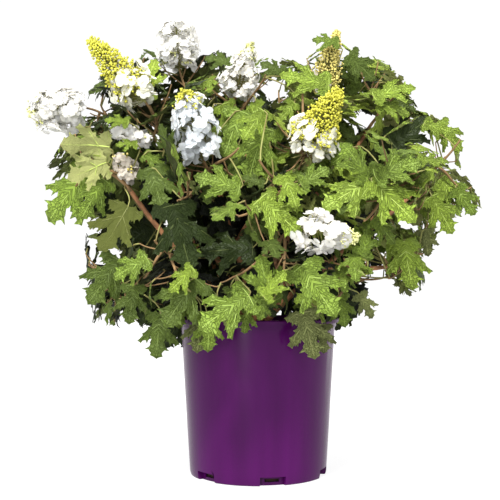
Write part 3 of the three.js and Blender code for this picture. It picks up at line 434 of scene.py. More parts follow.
# Relief of the bark, and how far leaves and florets stray from their common shapes, in metres
LIMB_BARK = {"Grain": 130.0, "Relief": 0.0022}
TWIG_BARK = {"Grain": 180.0, "Relief": 0.0006}
BASE_BARK = {"Grain": 110.0, "Relief": 0.0035}
LEAF_STRAY = 0.006
FLORET_STRAY = 0.002
STRAY_GRAIN = 22.0

# Colours of the leaves by tone (upper side, under side, veins), and of petals and buds. The leaf tones from
# shadow to the palest are lit and shaded copies of one green: partly the leaves' own tone, partly painted
# shade and painted light. Shadow is painted shade only.
LEAF_TONES_AND_SHADES = {
    "shadow": ((0.0025, 0.004, 0.001), (0.012, 0.015, 0.005), (0.008, 0.012, 0.0035)),
    "dark": ((0.014, 0.023, 0.004), (0.04, 0.048, 0.016), (0.05, 0.065, 0.017)),
    "deep": ((0.058, 0.086, 0.014), (0.085, 0.10, 0.029), (0.105, 0.145, 0.034)),
    "mid": ((0.156, 0.232, 0.031), (0.14, 0.17, 0.045), (0.205, 0.285, 0.06)),
    "bright": ((0.214, 0.306, 0.037), (0.19, 0.225, 0.058), (0.275, 0.36, 0.078)),
    "fresh": ((0.320, 0.430, 0.056), (0.235, 0.25, 0.09), (0.37, 0.465, 0.11)),
    "olive": ((0.165, 0.190, 0.060), (0.056, 0.066, 0.013), (0.20, 0.215, 0.08)),
}
PETAL_TONES = {
    "white": (0.86, 0.84, 0.78),
    "cool": (0.73, 0.77, 0.79),
    "cream": (0.94, 0.92, 0.72),
    "blush": (0.93, 0.90, 0.82),
    "faded": (0.60, 0.52, 0.40),
}
BUD_TONES = {
    "lime_bud": (0.50, 0.485, 0.045),
    "tan_bud": (0.60, 0.52, 0.15),
    "pale_bud": (0.56, 0.57, 0.24),
}

# The finish of a leaf's sides: roughness, the colour of its lines as a share of the blade's colour,
# quilting.
# Lines darker than the blade are painted shade in the sunk veins. Dark tones have paler lines on their
# upper side.
LEAF_FINISH = (("upper", 0.5, 0.5, 1.0), ("under", 0.8, 1.25, 0.5), ("vein", 0.6, 1.1, 0.1))
DARK_TONES = ("shadow", "dark", "deep")
DARK_LINE_SHARE = 1.6

# Colours of the pot and the floor
POT_COLOUR = (0.046, 0.0020, 0.055)
FLOOR_COLOURS = ((0.135, 0.135, 0.135), (0.145, 0.145, 0.145))

# Light and dark colours of bark, soil and chips
BARK_COLOURS = ((0.42, 0.20, 0.09), (0.17, 0.08, 0.04))
TWIG_COLOURS = ((0.26, 0.16, 0.07), (0.11, 0.07, 0.03))
STALK_COLOURS = ((0.24, 0.26, 0.08), (0.15, 0.12, 0.04))
SOIL_COLOURS = ((0.05, 0.032, 0.022), (0.02, 0.012, 0.008))
CHIP_COLOURS = ((0.16, 0.085, 0.045), (0.06, 0.03, 0.018))

# The net of veins in a leaf's finish: cells along and across a panel, veinlets, depth of the quilting
CELLS_ALONG = 9.0
CELLS_ACROSS = 3.4
VEINLET_SCALE = 3.4
QUILT_DEPTH = 0.0027

# The studio, with its places and sizes in metres
BACKDROP_LIGHT = 1.05
LEFT_LIGHT = 1.4
RIGHT_LIGHT = 1.3
KEY_WAY = Vector((0.12, 0.65, -0.9))
KEY_STRENGTH = 5.4
KEY_SPREAD_DEG = 10
KEY_COLOUR = (1, 0.98, 0.94)
STRIP_POWER = 27.0
STRIP_PLACE = Vector((-0.66, -1.9, 0.5))
STRIP_AIM = Vector((0, 0, 0.2))
STRIP_SIZE = (0.2, 1.6)
FLOOR_RADIUS = 6
FLOOR_GLOW = 0.86

# The camera, which stands at the eye's distance and height
CAMERA_LENS = 67.25
CAMERA_SENSOR = 36
CAMERA_TILT_DEG = 2.07
CAMERA_SHIFT = 13.3


# Random numbers, the same as the CAD source draws
WORD = 0xFFFFFFFF
STRIDE = 0x6D2B79F5


def random_source(seed):
    state = seed & WORD

    def draw():
        nonlocal state
        state = (state + STRIDE) & WORD
        mixed = ((state ^ (state >> 15)) * (state | 1)) & WORD
        mixed ^= (mixed + (mixed ^ (mixed >> 7)) * (mixed | 61)) & WORD
        return (mixed ^ (mixed >> 14)) / (WORD + 1)

    return draw


def seed_of(*places):
    seed = SEED
    for place in places:
        seed = (seed * 31 + place + 7) & WORD
    return seed


def spread(random):
    return 2 * random() - 1


def random_vector(random):
    return Vector((spread(random), spread(random), spread(random)))


def mix(low, high, share):
    return low + (high - low) * share


class Arc:
    """A smooth cubic curve from start to end, read by its length."""

    DIVISIONS = 200

    def __init__(self, start, start_way, end, end_way, slack=0.36):
        reach = (end - start).length * slack
        self.knots = (start, start + start_way * reach, end - end_way * reach, end)
        self.lengths = [0.0]
        last = start
        for i in range(1, self.DIVISIONS + 1):
            point = self.at(i / self.DIVISIONS)
            self.lengths.append(self.lengths[-1] + (point - last).length)
            last = point

    def at(self, t):
        a, b, c, d = self.knots
        rest = 1 - t
        return a * rest**3 + b * (3 * rest * rest * t) + c * (3 * rest * t * t) + d * t**3

    def place_of(self, share):
        wanted = share * self.lengths[-1]
        i = min(max(bisect.bisect_right(self.lengths, wanted) - 1, 0), self.DIVISIONS - 1)
        step = self.lengths[i + 1] - self.lengths[i]
        return (i + (wanted - self.lengths[i]) / step) / self.DIVISIONS

    def point_at(self, share):
        return self.at(self.place_of(share))

    def tangent_at(self, share):
        t = self.place_of(share)
        return (self.at(min(t + 0.0001, 1)) - self.at(max(t - 0.0001, 0))).normalized()

    def inside_stem(self, share, steps=TWIG_STEPS):
        step = min(int(share * steps), steps - 1)
        near = self.point_at(step / steps)
        return near.lerp(self.point_at((step + 1) / steps), share * steps - step)


# Rough solids that test for room
def side_axes(tangent):
    level = tangent.cross(UP)
    if level.length_squared < 0.01:
        level = RIGHT.copy()
    level.normalize()
    return level, level.cross(tangent).normalized()


def ring_corners(rings, sides):
    """The corners of each face between rings of points that follow one another."""
    for ring in range(rings - 1):
        for side in range(sides):
            a = ring * sides + side
            b = ring * sides + (side + 1) % sides
            yield a, b, b + sides, a + sides


def in_triangles(corners):
    return [half for a, b, c, d in corners for half in ((a, b, c), (a, c, d))]


def joined(shapes):
    """The points and faces of several shapes in one."""
    points, faces = [], []
    for more_points, more_faces in shapes:
        first = len(points)
        points += more_points
        faces += [tuple(first + corner for corner in face) for face in more_faces]
    return points, faces


def rough_stem(curve, start_radius, end_radius, sides, steps):
    points = []
    for step in range(steps + 1):
        share = step / steps
        level, over = side_axes(curve.tangent_at(share))
        middle = curve.point_at(share)
        radius = mix(start_radius, end_radius, share)
        for side in range(sides):
            turn = 2 * math.pi * side / sides
            points.append(middle + level * (radius * math.cos(turn)) + over * (radius * math.sin(turn)))
    faces = in_triangles(ring_corners(steps + 1, sides))
    for first in (0, steps * sides):
        faces += [(first, first + side, first + side + 1) for side in range(1, sides - 1)]
    return points, faces


def rough_lathe(profile, sides, base, axis):
    level, over = side_axes(axis)
    points = []
    for radius, height in profile:
        for side in range(sides):
            turn = 2 * math.pi * side / sides
            reach = level * (radius * math.cos(turn)) + over * (radius * math.sin(turn))
            points.append(base + axis * height + reach)
    return points, in_triangles(ring_corners(len(profile), sides))


class Room:
    """What is already taken up in the crown, as rough solids with their owners."""

    def __init__(self):
        self.taken = []

    @staticmethod
    def solid(points, faces):
        low = [min(point[axis] for point in points) for axis in range(3)]
        high = [max(point[axis] for point in points) for axis in range(3)]
        return BVHTree.FromPolygons(points, faces, all_triangles=True), low, high

    def take(self, shape, owner):
        self.taken.append((*self.solid(*shape), owner))

    def touches(self, shape, spare=None):
        tree, low, high = self.solid(*shape)
        for other, other_low, other_high, owner in self.taken:
            if owner == spare or low[2] > other_high[2] or other_low[2] > high[2]:
                continue
            if low[0] > other_high[0] or other_low[0] > high[0]:
                continue
            if low[1] > other_high[1] or other_low[1] > high[1]:
                continue
            if tree.overlap(other):
                return True
        return False


room = Room()


# Limbs
def past_end(end, way):
    return end + way * CLEARANCE


def fork_of(tip, order):
    """Where a cane leaves the stem base, and its way there: steeper for a tip near the middle."""
    away = Vector((tip[0], tip[1], 0))
    upright = min(max(1.25 - away.length / 220, 0.25), 0.95)
    away.normalize()
    reach = FORK_REACH * (1 - 0.55 * upright)
    end = away * reach
    end.z = SOIL_TOP + FORK_RISE + 16 * upright + 3 * (order % 2)
    way = (away * (1.1 - upright) + UP * (0.55 + upright)).normalized()
    return end, way


def lay_limbs():
    """The canes and boughs by name, each a curve with its two radii."""
    limbs = {}
    for order, (name, parent_name, share, tip_place) in enumerate(LIMBS):
        tip = Vector(tip_place)
        parent = limbs.get(parent_name)
        if parent is None:
            fork_end, fork_way = fork_of(tip_place, order)
            start = past_end(fork_end, fork_way)
        else:
            start = parent["curve"].point_at(share)
        along = (tip - start).normalized()
        if parent is None:
            start_way = fork_way
        else:
            start_way = (parent["curve"].tangent_at(share) * 0.45 + along).normalized()
        end_way = (along + UP * 0.25).normalized()
        limbs[name] = {
            "name": name,
            "curve": Arc(start, start_way, tip, end_way),
            "radii": (CANE_RADIUS, CANE_TIP_RADIUS) if parent is None else (BOUGH_RADIUS, BOUGH_TIP_RADIUS),
        }
    return limbs


# The view from the front, and the crown's limits in it
def seen_from_front(point):
    scale = EYE_DISTANCE / (EYE_DISTANCE + point.y)
    return point.x * scale, EYE_HEIGHT + (point.z - EYE_HEIGHT) * scale


def place_in_view(x, height, y):
    scale = (EYE_DISTANCE + y) / EYE_DISTANCE
    return Vector((x * scale, y, EYE_HEIGHT + (height - EYE_HEIGHT) * scale))


def outline_height(heights, x):
    place = x / OUTLINE_STEP + (len(heights) - 1) / 2
    if place < 0 or place > len(heights) - 1:
        return math.nan
    left = min(int(place), len(heights) - 2)
    return mix(heights[left], heights[left + 1], place - left)


def inside_crown(point):
    x, height = seen_from_front(point)
    under = height <= outline_height(OUTLINE_TOP, x) + OUTLINE_SLACK
    over = height >= outline_height(OUTLINE_FOOT, x) - OUTLINE_SLACK
    rise = (point.z - CROWN_MIDDLE_HEIGHT) / CROWN_REACH.z
    depth = point.y / CROWN_REACH.y
    width = point.x / CROWN_REACH.x
    return under and over and rise * rise + depth * depth < 1 and width * width + depth * depth < 1.1


def sight_lane(start, end, depth, radius):
    """A lane in the front view in which nothing grows nearer to the eye than this depth."""
    seen = Vector(seen_from_front(start))
    return seen, Vector(seen_from_front(end)) - seen, depth, radius


lanes = [
    sight_lane(Vector(base), Vector(tip), (base[1] + tip[1]) / 2, LANE_SHARE * radius)
    for base, tip, radius, _ in PANICLES.values()
]
leaf_lanes = []


def keep_limbs_in_sight(limbs):
    for name, (first, last) in SHOWN_LIMBS.items():
        curve = limbs[name]["curve"]
        end = curve.point_at(last)
        lanes.append(sight_lane(curve.point_at(first), end, end.y, SHOWN_LIMB_ROOM))


def keep_leaf_in_sight(pose):
    middle = place_on_leaf(pose)(0.45, 0)
    leaf_lanes.append((Vector(seen_from_front(middle)), middle.y, LEAF_LANE_SHARE * pose["length"]))


def hides_bloom_or_limb(point):
    seen = Vector(seen_from_front(point))
    for start, line, depth, radius in lanes:
        if point.y < depth:
            share = min(max((seen - start).dot(line) / line.length_squared, 0), 1)
            if (start + line * share - seen).length < radius:
                return True
    return False


def hides_placed_leaf(point):
    seen = Vector(seen_from_front(point))
    return any(point.y < depth and (middle - seen).length < radius for middle, depth, radius in leaf_lanes)


def in_gap(point):
    x, height = seen_from_front(point)
    return any(math.hypot(x - gap_x, height - gap_height) < radius for gap_x, gap_height, radius in GAPS)


def may_grow_at(point):
    if not inside_crown(point) or in_gap(point):
        return False
    return not hides_bloom_or_limb(point) and not hides_placed_leaf(point)


def inside_space(point, mass):
    return all((point - middle).dot(way) < SPACE_SLACK for middle, way in mass["walls"])


# Leaves as rough solids
def place_on_leaf(pose, swell=0.0):
    across = pose["facing"].cross(pose["way"])
    length = pose["length"]

    def place(u, v, lift=0.0):
        along = (u + (u - LEAF_MIDDLE) * swell) * length
        aside = across * (v * (1 + swell) * length)
        rise = (lift - pose["bend"] * u * u - 0.32 * v * v) * length
        return pose["foot"] + pose["way"] * along + aside + pose["facing"] * rise

    return place


def leaf_edge(place):
    right = [place(u, v) for u, v in LEAF_EDGE]
    left = [place(u, -v) for u, v in reversed(LEAF_EDGE)]
    return [*right, place(1, 0), *left]


def blade_solid(pose, swell=0.0, margin=0.0):
    place = place_on_leaf(pose, swell)
    edge = [place(0, 0), *leaf_edge(place)]
    half = LEAF_HALF_THICKNESS + margin / pose["length"]
    points = [*edge, place(LEAF_MIDDLE, 0, half), place(LEAF_MIDDLE, 0, -half)]
    count = len(edge)
    faces = []
    for i in range(count):
        after = (i + 1) % count
        faces += [(count, i, after), (count + 1, after, i)]
    return points, faces


def straight_stem(start, end, radius):
    way = (end - start).normalized()
    return rough_stem(Arc(start, way, end, way), radius, radius, 3, 1)


def blade_samples(pose):
    place = place_on_leaf(pose)
    edge = leaf_edge(place)
    middle = place(LEAF_MIDDLE, 0)
    return [*edge, *[point.lerp(middle, 0.5) for point in edge], middle, pose["foot"]]


def in_its_place(pose, mass, kind):
    """Whether the leaf keeps to the crown, to its mass's own space and out of the lanes, for its kind."""
    samples = blade_samples(pose)
    if kind == "placed":
        return not any(in_gap(point) for point in samples)
    if in_gap(pose["root"].lerp(pose["foot"], 0.6)):
        return False
    if kind == "paired" and not all(inside_space(point, mass) for point in samples):
        return False
    return all(may_grow_at(point) for point in samples)


def leaf_fits(pose, mass, kind):
    if not in_its_place(pose, mass, kind) or room.touches(blade_solid(pose, GUARD_SWELL, GUARD_MARGIN)):
        return False
    stalk_start = pose["root"].lerp(pose["foot"], 0.35)
    stalk = straight_stem(stalk_start, pose["foot"], STALK_RADIUS + GUARD_MARGIN)
    return not room.touches(stalk, mass["twigs"])


# Poses of leaves
def outward_at(point):
    return (point - HEART).normalized()


def square_to(facing, way):
    return (facing - way * facing.dot(way)).normalized()


def pose_shoot_leaf(
    shoot, share, node, side, attempt, random, full_length=LEAF_LENGTH, stalk_share=1.0,
):
    """A leaf of the pair at this node of a shoot. Each new attempt strays further from the rule."""
    axis_point = shoot["curve"].point_at(share)
    in_twig = shoot["curve"].inside_stem(share)
    tangent = shoot["curve"].tangent_at(share)
    level, over = side_axes(tangent)
    looseness = 0.25 + 0.2 * attempt
    reach_out = 1 - attempt / LEAF_TRIES
    roll = shoot["phase"] + (node * math.pi) / 2 + side * math.pi + spread(random) * looseness
    outward = outward_at(axis_point)
    stalk_way = level * math.cos(roll) + over * math.sin(roll) + tangent * (0.6 * reach_out)
    stalk_way = (stalk_way + outward * (0.55 * reach_out) + UP * 0.15).normalized()
    root = in_twig + stalk_way * (ROOT_SHARE * TWIG_TIP_RADIUS)
    growth = min(0.74 + 0.12 * node, 1.04)
    length = full_length * growth * (1 + 0.12 * spread(random)) * (1 - 0.035 * attempt)
    stalk_length = length * mix(0.28, 0.55, random()) * stalk_share
    foot = axis_point + stalk_way * stalk_length - UP * (0.12 * stalk_length)
    droop = mix(0.05, 0.75, random()) + 0.1 * node
    way = stalk_way * 0.8 + outward * (0.35 * reach_out) - UP * droop
    way = (way + random_vector(random) * (0.12 * attempt)).normalized()
    upness = 0.6 if foot.y < 0 else 0.75
    facing = outward * 0.95 + UP * upness + random_vector(random) * (0.4 + 0.08 * attempt)
    bend = mix(0.08, 0.34, random())
    return {
        "root": root, "stalk_way": stalk_way, "foot": foot, "way": way,
        "facing": square_to(facing, way), "length": length, "bend": bend,
    }


def nearest_on_shoots(mass, foot):
    """The nearest point inside the mass's shoots, and the shoot's way there."""
    best = (math.inf, None, None)
    for shoot in mass["shoots"]:
        share = 0.1
        while share < 0.98:
            root = shoot["curve"].inside_stem(share)
            distance = (root - foot).length
            if distance < best[0]:
                best = (distance, root, shoot["curve"].tangent_at(share))
            share += 0.05
    return best[1], best[2]


def pose_placed_leaf(mass, row, attempt, random):
    """The leaf as its row has it, and then a little off that at each new attempt."""
    _, (seen_x, seen_height, depth), heading_deg, lean_deg, upness, seen_side, full_length, _ = row
    loose = attempt * 0.5
    heading = math.radians(heading_deg + 9 * loose * spread(random))
    lean = math.radians(lean_deg + 9 * loose * spread(random))
    y = depth + 9 * loose * spread(random)
    foot = place_in_view(seen_x, seen_height + 3 * loose * spread(random), y)
    way = Vector((
        math.cos(heading) * math.cos(lean), -math.sin(lean), math.sin(heading) * math.cos(lean),
    ))
    facing = Vector((0.25 * spread(random), -seen_side, upness))
    length = full_length * (1 - 0.03 * attempt)
    bend = mix(0.06, 0.2, random())
    return hung_leaf(mass, foot, way, facing, length, bend)


def hung_leaf(mass, foot, way, facing, length, bend):
    """A leaf at this place, on a stalk from the nearest point of the mass's shoots."""
    root, tangent = nearest_on_shoots(mass, foot)
    stalk_way = ((foot - root).normalized() + tangent * 0.4).normalized()
    return {
        "root": root, "stalk_way": stalk_way, "foot": foot, "way": way,
        "facing": square_to(facing, way), "length": length, "bend": bend,
    }


# Twigs
def panicle_axis(name):
    base, tip, _, _ = PANICLES[name]
    line = Vector(tip) - Vector(base)
    return Vector(base), line.normalized(), line.length


def shoot_end(goal):
    """Where a shoot ends, and the way that a panicle on it points."""
    if not isinstance(goal, str):
        return Vector(goal), None
    base, axis, _ = panicle_axis(goal)
    return base + axis * 6, axis


def lay_shoot(mass, limb, goal, order, attempt):
    random = random_source(seed_of(mass["index"], order, SHOOT_DRAW, attempt))
    end, end_way = shoot_end(goal)
    stem = mass["shoots"][0] if mass["shoots"] else None
    limb_way = limb["curve"].tangent_at(1)
    share = 0.22 + 0.2 * order
    start = stem["curve"].inside_stem(share) if stem else past_end(limb["curve"].point_at(1), limb_way)
    along = (end - start).normalized()
    start_way = stem["curve"].tangent_at(share) * 0.3 + along if stem else limb_way
    start_way = (start_way + random_vector(random) * (0.3 * attempt if stem else 0)).normalized()
    arrive_way = end_way if end_way else along + UP * 0.3
    arrive_way = (arrive_way + random_vector(random) * (0.25 * attempt)).normalized()
    curve = Arc(start, start_way, end, arrive_way)
    tip_radius = limb["radii"][1]
    length = curve.lengths[-1]
    bare_end = PANICLE_BARE_END if end_way else ROSETTE_BARE_END
    pairs = min(max(math.ceil((0.85 * length - bare_end) / INTERNODE), 1), MOST_PAIRS)
    return {
        "order": order,
        "curve": curve,
        "start_radius": mix(tip_radius, TWIG_TIP_RADIUS, 0.5) if stem else tip_radius,
        "nodes": [1 - (bare_end + pair * INTERNODE) / length for pair in range(pairs)],
        "phase": random() * math.pi,
    }


def twig_solid(shoot, grow):
    radii = (shoot["start_radius"] + grow, TWIG_TIP_RADIUS + grow)
    return rough_stem(shoot["curve"], *radii, TWIG_SIDES, TWIG_STEPS)


def grow_twigs(mass, limb):
    for order, goal in enumerate(mass["goals"]):
        for attempt in range(TWIG_TRIES):
            shoot = lay_shoot(mass, limb, goal, order, attempt)
            grow = FIRST_TWIG_GAP if order == 0 else CLEARANCE
            if not room.touches(twig_solid(shoot, grow), mass["twigs"]):
                mass["shoots"].append(shoot)
                room.take(twig_solid(shoot, 0), mass["twigs"])
                if isinstance(goal, str):
                    mass["panicles"].append(goal)
                break


def grow_leaf(mass, kind, tone, places, pose_at, tries=LEAF_TRIES):
    """Keeps the first pose with room for it. Tells whether there was one."""
    for attempt in range(tries):
        pose = pose_at(attempt, random_source(seed_of(*places, attempt)))
        if leaf_fits(pose, mass, kind):
            pose |= {"tone": tone, "kind": kind}
            if kind == "placed":
                keep_leaf_in_sight(pose)
            mass["leaves"].append(pose)
            room.take(blade_solid(pose), mass["name"])
            room.take(straight_stem(pose["root"], pose["foot"], STALK_RADIUS), mass["name"])
            return True
    return False


def grow_placed_leaves(mass):
    for order, row in enumerate(PLACED_LEAVES):
        if row[0] == mass["name"]:
            grow_leaf(
                mass, "placed", row[-1], (PLACED_LEAF_DRAW, order),
                lambda attempt, random: pose_placed_leaf(mass, row, attempt, random),
            )


def spray_tone_and_shade(mass, point, places):
    """The mass's tone for most, painted a tone darker as shade deep in the crown, and for some a tone off
    by chance.
    """
    tones = [tone for tone in LEAF_TONES_AND_SHADES if tone != "olive"]
    place = tones.index(mass["tone"])
    # Painted shade: a tone darker for each depth that the spray lies within in the crown
    from_heart = point - HEART
    depth = Vector(from_heart[axis] / CROWN_REACH[axis] for axis in range(3)).length
    place -= sum(depth < limit for limit in SHADE_DEPTHS)
    draw = random_source(seed_of(*places, TONE_DRAW))()
    if draw < DARKER_BELOW:
        place -= 1
    elif draw > LIGHTER_ABOVE:
        place += 1
    return tones[min(max(place, 0), len(tones) - 1)]


def grow_pairs(mass, node):
    for shoot in mass["shoots"]:
        if node >= len(shoot["nodes"]):
            continue
        share = shoot["nodes"][node]
        places = (mass["index"], shoot["order"])
        tone = spray_tone_and_shade(mass, shoot["curve"].point_at(share), places)
        for side in range(2):
            grow_leaf(
                mass, "paired", tone, (*places, node, side),
                lambda attempt, random: pose_shoot_leaf(shoot, share, node, side, attempt, random),
            )


# Finer growth, beyond the CAD source
def lay_side_shoot(stem, share, lengths, random, looseness):
    start = stem["curve"].inside_stem(share)
    tangent = stem["curve"].tangent_at(share)
    level, over = side_axes(tangent)
    roll = 2 * math.pi * random()
    way = level * math.cos(roll) + over * math.sin(roll) + tangent * 0.5 + outward_at(start) * 0.5
    way = (way + UP * 0.25 + random_vector(random) * looseness).normalized()
    end = start + way * mix(*lengths, random())
    return {
        "curve": Arc(start, way, end, (way + UP * 0.35).normalized()),
        "start_radius": SIDE_SHOOT_RADIUS,
        "phase": random() * math.pi,
    }


def grow_side_shoots(mass, stem, stem_number, rule, rule_number):
    length = stem["curve"].lengths[-1]
    count = int(length * (1 - rule["from"]) / rule["spacing"])
    for number in range(count):
        share = SIDE_SHOOT_LAST - number * rule["spacing"] / length
        places = (mass["index"], stem_number, SIDE_SHOOT_DRAW + rule_number, number)
        for attempt in range(SIDE_SHOOT_TRIES):
            random = random_source(seed_of(*places, attempt))
            branch = lay_side_shoot(stem, share, rule["lengths"], random, 0.15 * attempt)
            if grow_branch(mass, branch, rule, places):
                break


def grow_branch(mass, branch, rule, places):
    """The branch with its leaves, if there is room for it and for one leaf or more."""
    curve = branch["curve"]
    guard = rough_stem(curve, SIDE_SHOOT_RADIUS, SIDE_SHOOT_RADIUS, 3, 2)
    if not all(may_grow_at(curve.point_at(share)) for share in (0.25, 0.5, 0.75, 1)):
        return False
    if room.touches(guard, mass["twigs"]):
        return False
    tone = spray_tone_and_shade(mass, curve.point_at(1), places)
    bears_leaf = False
    for node in range(rule["pairs"]):
        share = SIDE_LEAVES_TO - node * SIDE_INTERNODE / curve.lengths[-1]
        for side in range(2 if share > SIDE_LEAVES_FROM else 0):
            bears_leaf |= grow_leaf(
                mass, "finer", tone, (*places, node, side),
                lambda attempt, random: pose_shoot_leaf(
                    branch, share, node, side, attempt, random, rule["leaf"], SIDE_STALK_SHARE,
                ),
                SIDE_LEAF_TRIES,
            )
    if bears_leaf:
        mass["branches"].append(branch)
        room.take(guard, mass["twigs"])
    return bears_leaf


def grow_finer(mass, limb, rule, rule_number):
    stems = [limb] if "limb" in rule["on"] else []
    if "twigs" in rule["on"]:
        stems += mass["shoots"]
    for number, stem in enumerate(stems):
        grow_side_shoots(mass, stem, number, rule, rule_number)


# Leaves deep in the crown
def inside_front_outline(x, height):
    for side in (-SKY_MARGIN, 0, SKY_MARGIN):
        top = outline_height(OUTLINE_TOP, x + side)
        foot = outline_height(OUTLINE_FOOT, x + side)
        if not foot + SKY_MARGIN < height < top - SKY_MARGIN:
            return False
    return not in_gap(place_in_view(x, height, 0))


def inside_side_outline(x, height):
    reach, rise = SIDE_REACH
    return height > SIDE_FOOT and math.hypot(x / reach, (height - CROWN_MIDDLE_HEIGHT) / rise) < 1


def sky_places(masses, view, is_inside):
    """Places in this view, well inside the crown, where no leaf hides the sky."""
    blades = joined(blade_solid(pose, SKY_BLADE_SWELL) for mass in masses for pose in mass["leaves"])
    screen = BVHTree.FromPolygons(*blades, all_triangles=True)
    eye = view @ Vector((0, -EYE_DISTANCE, EYE_HEIGHT))
    places = []
    for height in range(min(OUTLINE_FOOT), max(OUTLINE_TOP), SKY_STEP):
        for x in range(-int(CROWN_REACH.x), int(CROWN_REACH.x), SKY_STEP):
            sight = view @ place_in_view(x, height, 0) - eye
            if is_inside(x, height) and screen.ray_cast(eye, sight)[0] is None:
                places.append((x, height))
    return places


def pose_deep_leaf(mass, view, x, height, depth, random):
    away = Vector((x, 0, height - CROWN_MIDDLE_HEIGHT)).normalized()
    foot = view @ (place_in_view(x, height, depth) - away * (LEAF_MIDDLE * DEEP_LEAF))
    way = (view @ away + random_vector(random) * 0.2).normalized()
    facing = view @ Vector((0, -1, 0.3)) + random_vector(random) * 0.3
    length = DEEP_LEAF * mix(0.85, 1.0, random())
    return hung_leaf(mass, foot, way, facing, length, mix(0.06, 0.2, random()))


def grow_deep_leaf(masses, view, number, x, height, depth):
    place = view @ place_in_view(x, height, depth)
    mass = min(masses, key=lambda each: (each["middle"] - place).length)
    # Painted shade: leaves deep in the crown take the two darkest tones
    tone = "dark" if height > CROWN_MIDDLE_HEIGHT or number % 3 == 0 else "shadow"
    return grow_leaf(
        mass, "finer", tone, (DEEP_LEAF_DRAW, number),
        lambda attempt, random: pose_deep_leaf(mass, view, x, height, depth, random),
        DEEP_LEAF_TRIES,
    )


def grow_deep_leaves(masses, turn):
    view = Matrix.Rotation(turn, 3, "Z")
    is_inside = inside_side_outline if turn else inside_front_outline
    spacing = DEEP_LEAF_SPACING * DEEP_LEAF
    closed = []
    for number, (x, height) in enumerate(sky_places(masses, view, is_inside)):
        if any(math.hypot(x - near_x, height - near) < spacing for near_x, near in closed):
            continue
        if any(grow_deep_leaf(masses, view, number, x, height, depth) for depth in DEEP_LEAF_DEPTHS):
            closed.append((x, height))


# The whole crown
def list_masses():
    masses = []
    for index, (name, limb, goals, tone) in enumerate(MASSES):
        ends = [shoot_end(goal)[0] for goal in goals]
        middle = sum(ends, Vector()) / len(ends)
        masses.append({
            "name": name, "twigs": f"{name} twigs", "limb": limb, "goals": goals, "tone": tone,
            "index": index, "middle": middle, "shoots": [], "branches": [], "leaves": [], "panicles": [],
        })
    for mass in masses:
        mass["walls"] = [
            (mass["middle"].lerp(other["middle"], 0.5), (other["middle"] - mass["middle"]).normalized())
            for other in masses if other is not mass
        ]
    return masses


def panicle_form(name, foot_share, tip_share):
    """Radii at places along a panicle, narrower by these shares at its foot and its tip."""
    _, _, base_radius, tip_radius = PANICLES[name]
    return [
        (0, foot_share * base_radius), (0.2, base_radius), (0.5, mix(base_radius, tip_radius, 0.35)),
        (0.85, tip_radius), (1, tip_share * tip_radius),
    ]


def panicle_guard(name):
    base, axis, length = panicle_axis(name)
    form = panicle_form(name, 0.62, 0.3)
    profile = [(radius + PANICLE_GUARD, share * length) for share, radius in form]
    return rough_lathe(profile, PANICLE_SIDES, base, axis)


def pot_guard():
    rim_foot = POT_HEIGHT - RIM_DEPTH
    collar_foot = rim_foot - COLLAR_DEPTH
    outline = [
        (BODY_FOOT_RADIUS, -POT_GUARD), (BODY_TOP_RADIUS, collar_foot), (COLLAR_RADIUS, collar_foot),
        (COLLAR_RADIUS, rim_foot), (RIM_RADIUS, rim_foot), (RIM_RADIUS, POT_HEIGHT + POT_GUARD),
    ]
    profile = [(radius + POT_GUARD, height) for radius, height in outline]
    return rough_lathe([*profile, (1, POT_HEIGHT + POT_GUARD)], 30, Vector(), UP)


def grow_crown(limbs):
    masses = list_masses()
    keep_limbs_in_sight(limbs)
    room.take(pot_guard(), "pot")
    for limb in limbs.values():
        room.take(rough_stem(limb["curve"], *limb["radii"], 6, 4), limb["name"])
    for mass in masses:
        for goal in mass["goals"]:
            if isinstance(goal, str):
                room.take(panicle_guard(goal), mass["twigs"])
    for mass in masses:
        grow_twigs(mass, limbs[mass["limb"]])
    for mass in masses:
        grow_placed_leaves(mass)
    for node in range(MOST_PAIRS):
        for mass in masses:
            grow_pairs(mass, node)
    for number, rule in enumerate(FINER_ROUNDS, 1):
        for mass in masses:
            grow_finer(mass, limbs[mass["limb"]], rule, number)
    for turn in SKY_TURNS:
        grow_deep_leaves(masses, turn)
    return masses


# Meshes
def linked(name, data):
    thing = bpy.data.objects.new(name, data)
    bpy.context.scene.collection.objects.link(thing)
    return thing


def shelf_of(name, meshes):
    """The meshes as shapes to scatter, which are picked by the order of their names."""
    shelf = bpy.data.collections.new(name)
    for mesh in meshes:
        shelf.objects.link(bpy.data.objects.new(mesh.name, mesh))
    return shelf


def mesh_of(name, points, faces=(), edges=()):
    mesh = bpy.data.meshes.new(name)
    mesh.from_pydata([tuple(point) for point in points], edges, faces)
    return mesh


def give(mesh, name, kind, values):
    mesh.attributes.new(name, kind, "POINT").data.foreach_set("value", values)


def baked(thing):
    """The object with its modifiers worked into its mesh."""
    depsgraph = bpy.context.evaluated_depsgraph_get()
    mesh = bpy.data.meshes.new_from_object(thing.evaluated_get(depsgraph))
    thing.modifiers.clear()
    thing.data = mesh
    return thing


def keep_as(thing, slot, *nodes):
    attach(thing, "root")
    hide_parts(*nodes)


# Node trees
def feed(tree, node, key, value):
    """Sets or links the node's input with this identifier."""
    socket = next(each for each in node.inputs if each.identifier == key)
    if isinstance(value, bpy.types.Node):
        value = next(each for each in value.outputs if each.enabled)
    if isinstance(value, bpy.types.NodeSocket):
        tree.links.new(value, socket)
    else:
        socket.default_value = value


def add_node(tree, kind, inputs=None, **settings):
    node = tree.nodes.new(kind)
    for key, value in settings.items():
        setattr(node, key, value)
    for key, value in (inputs or {}).items():
        feed(tree, node, key, value)
    return node


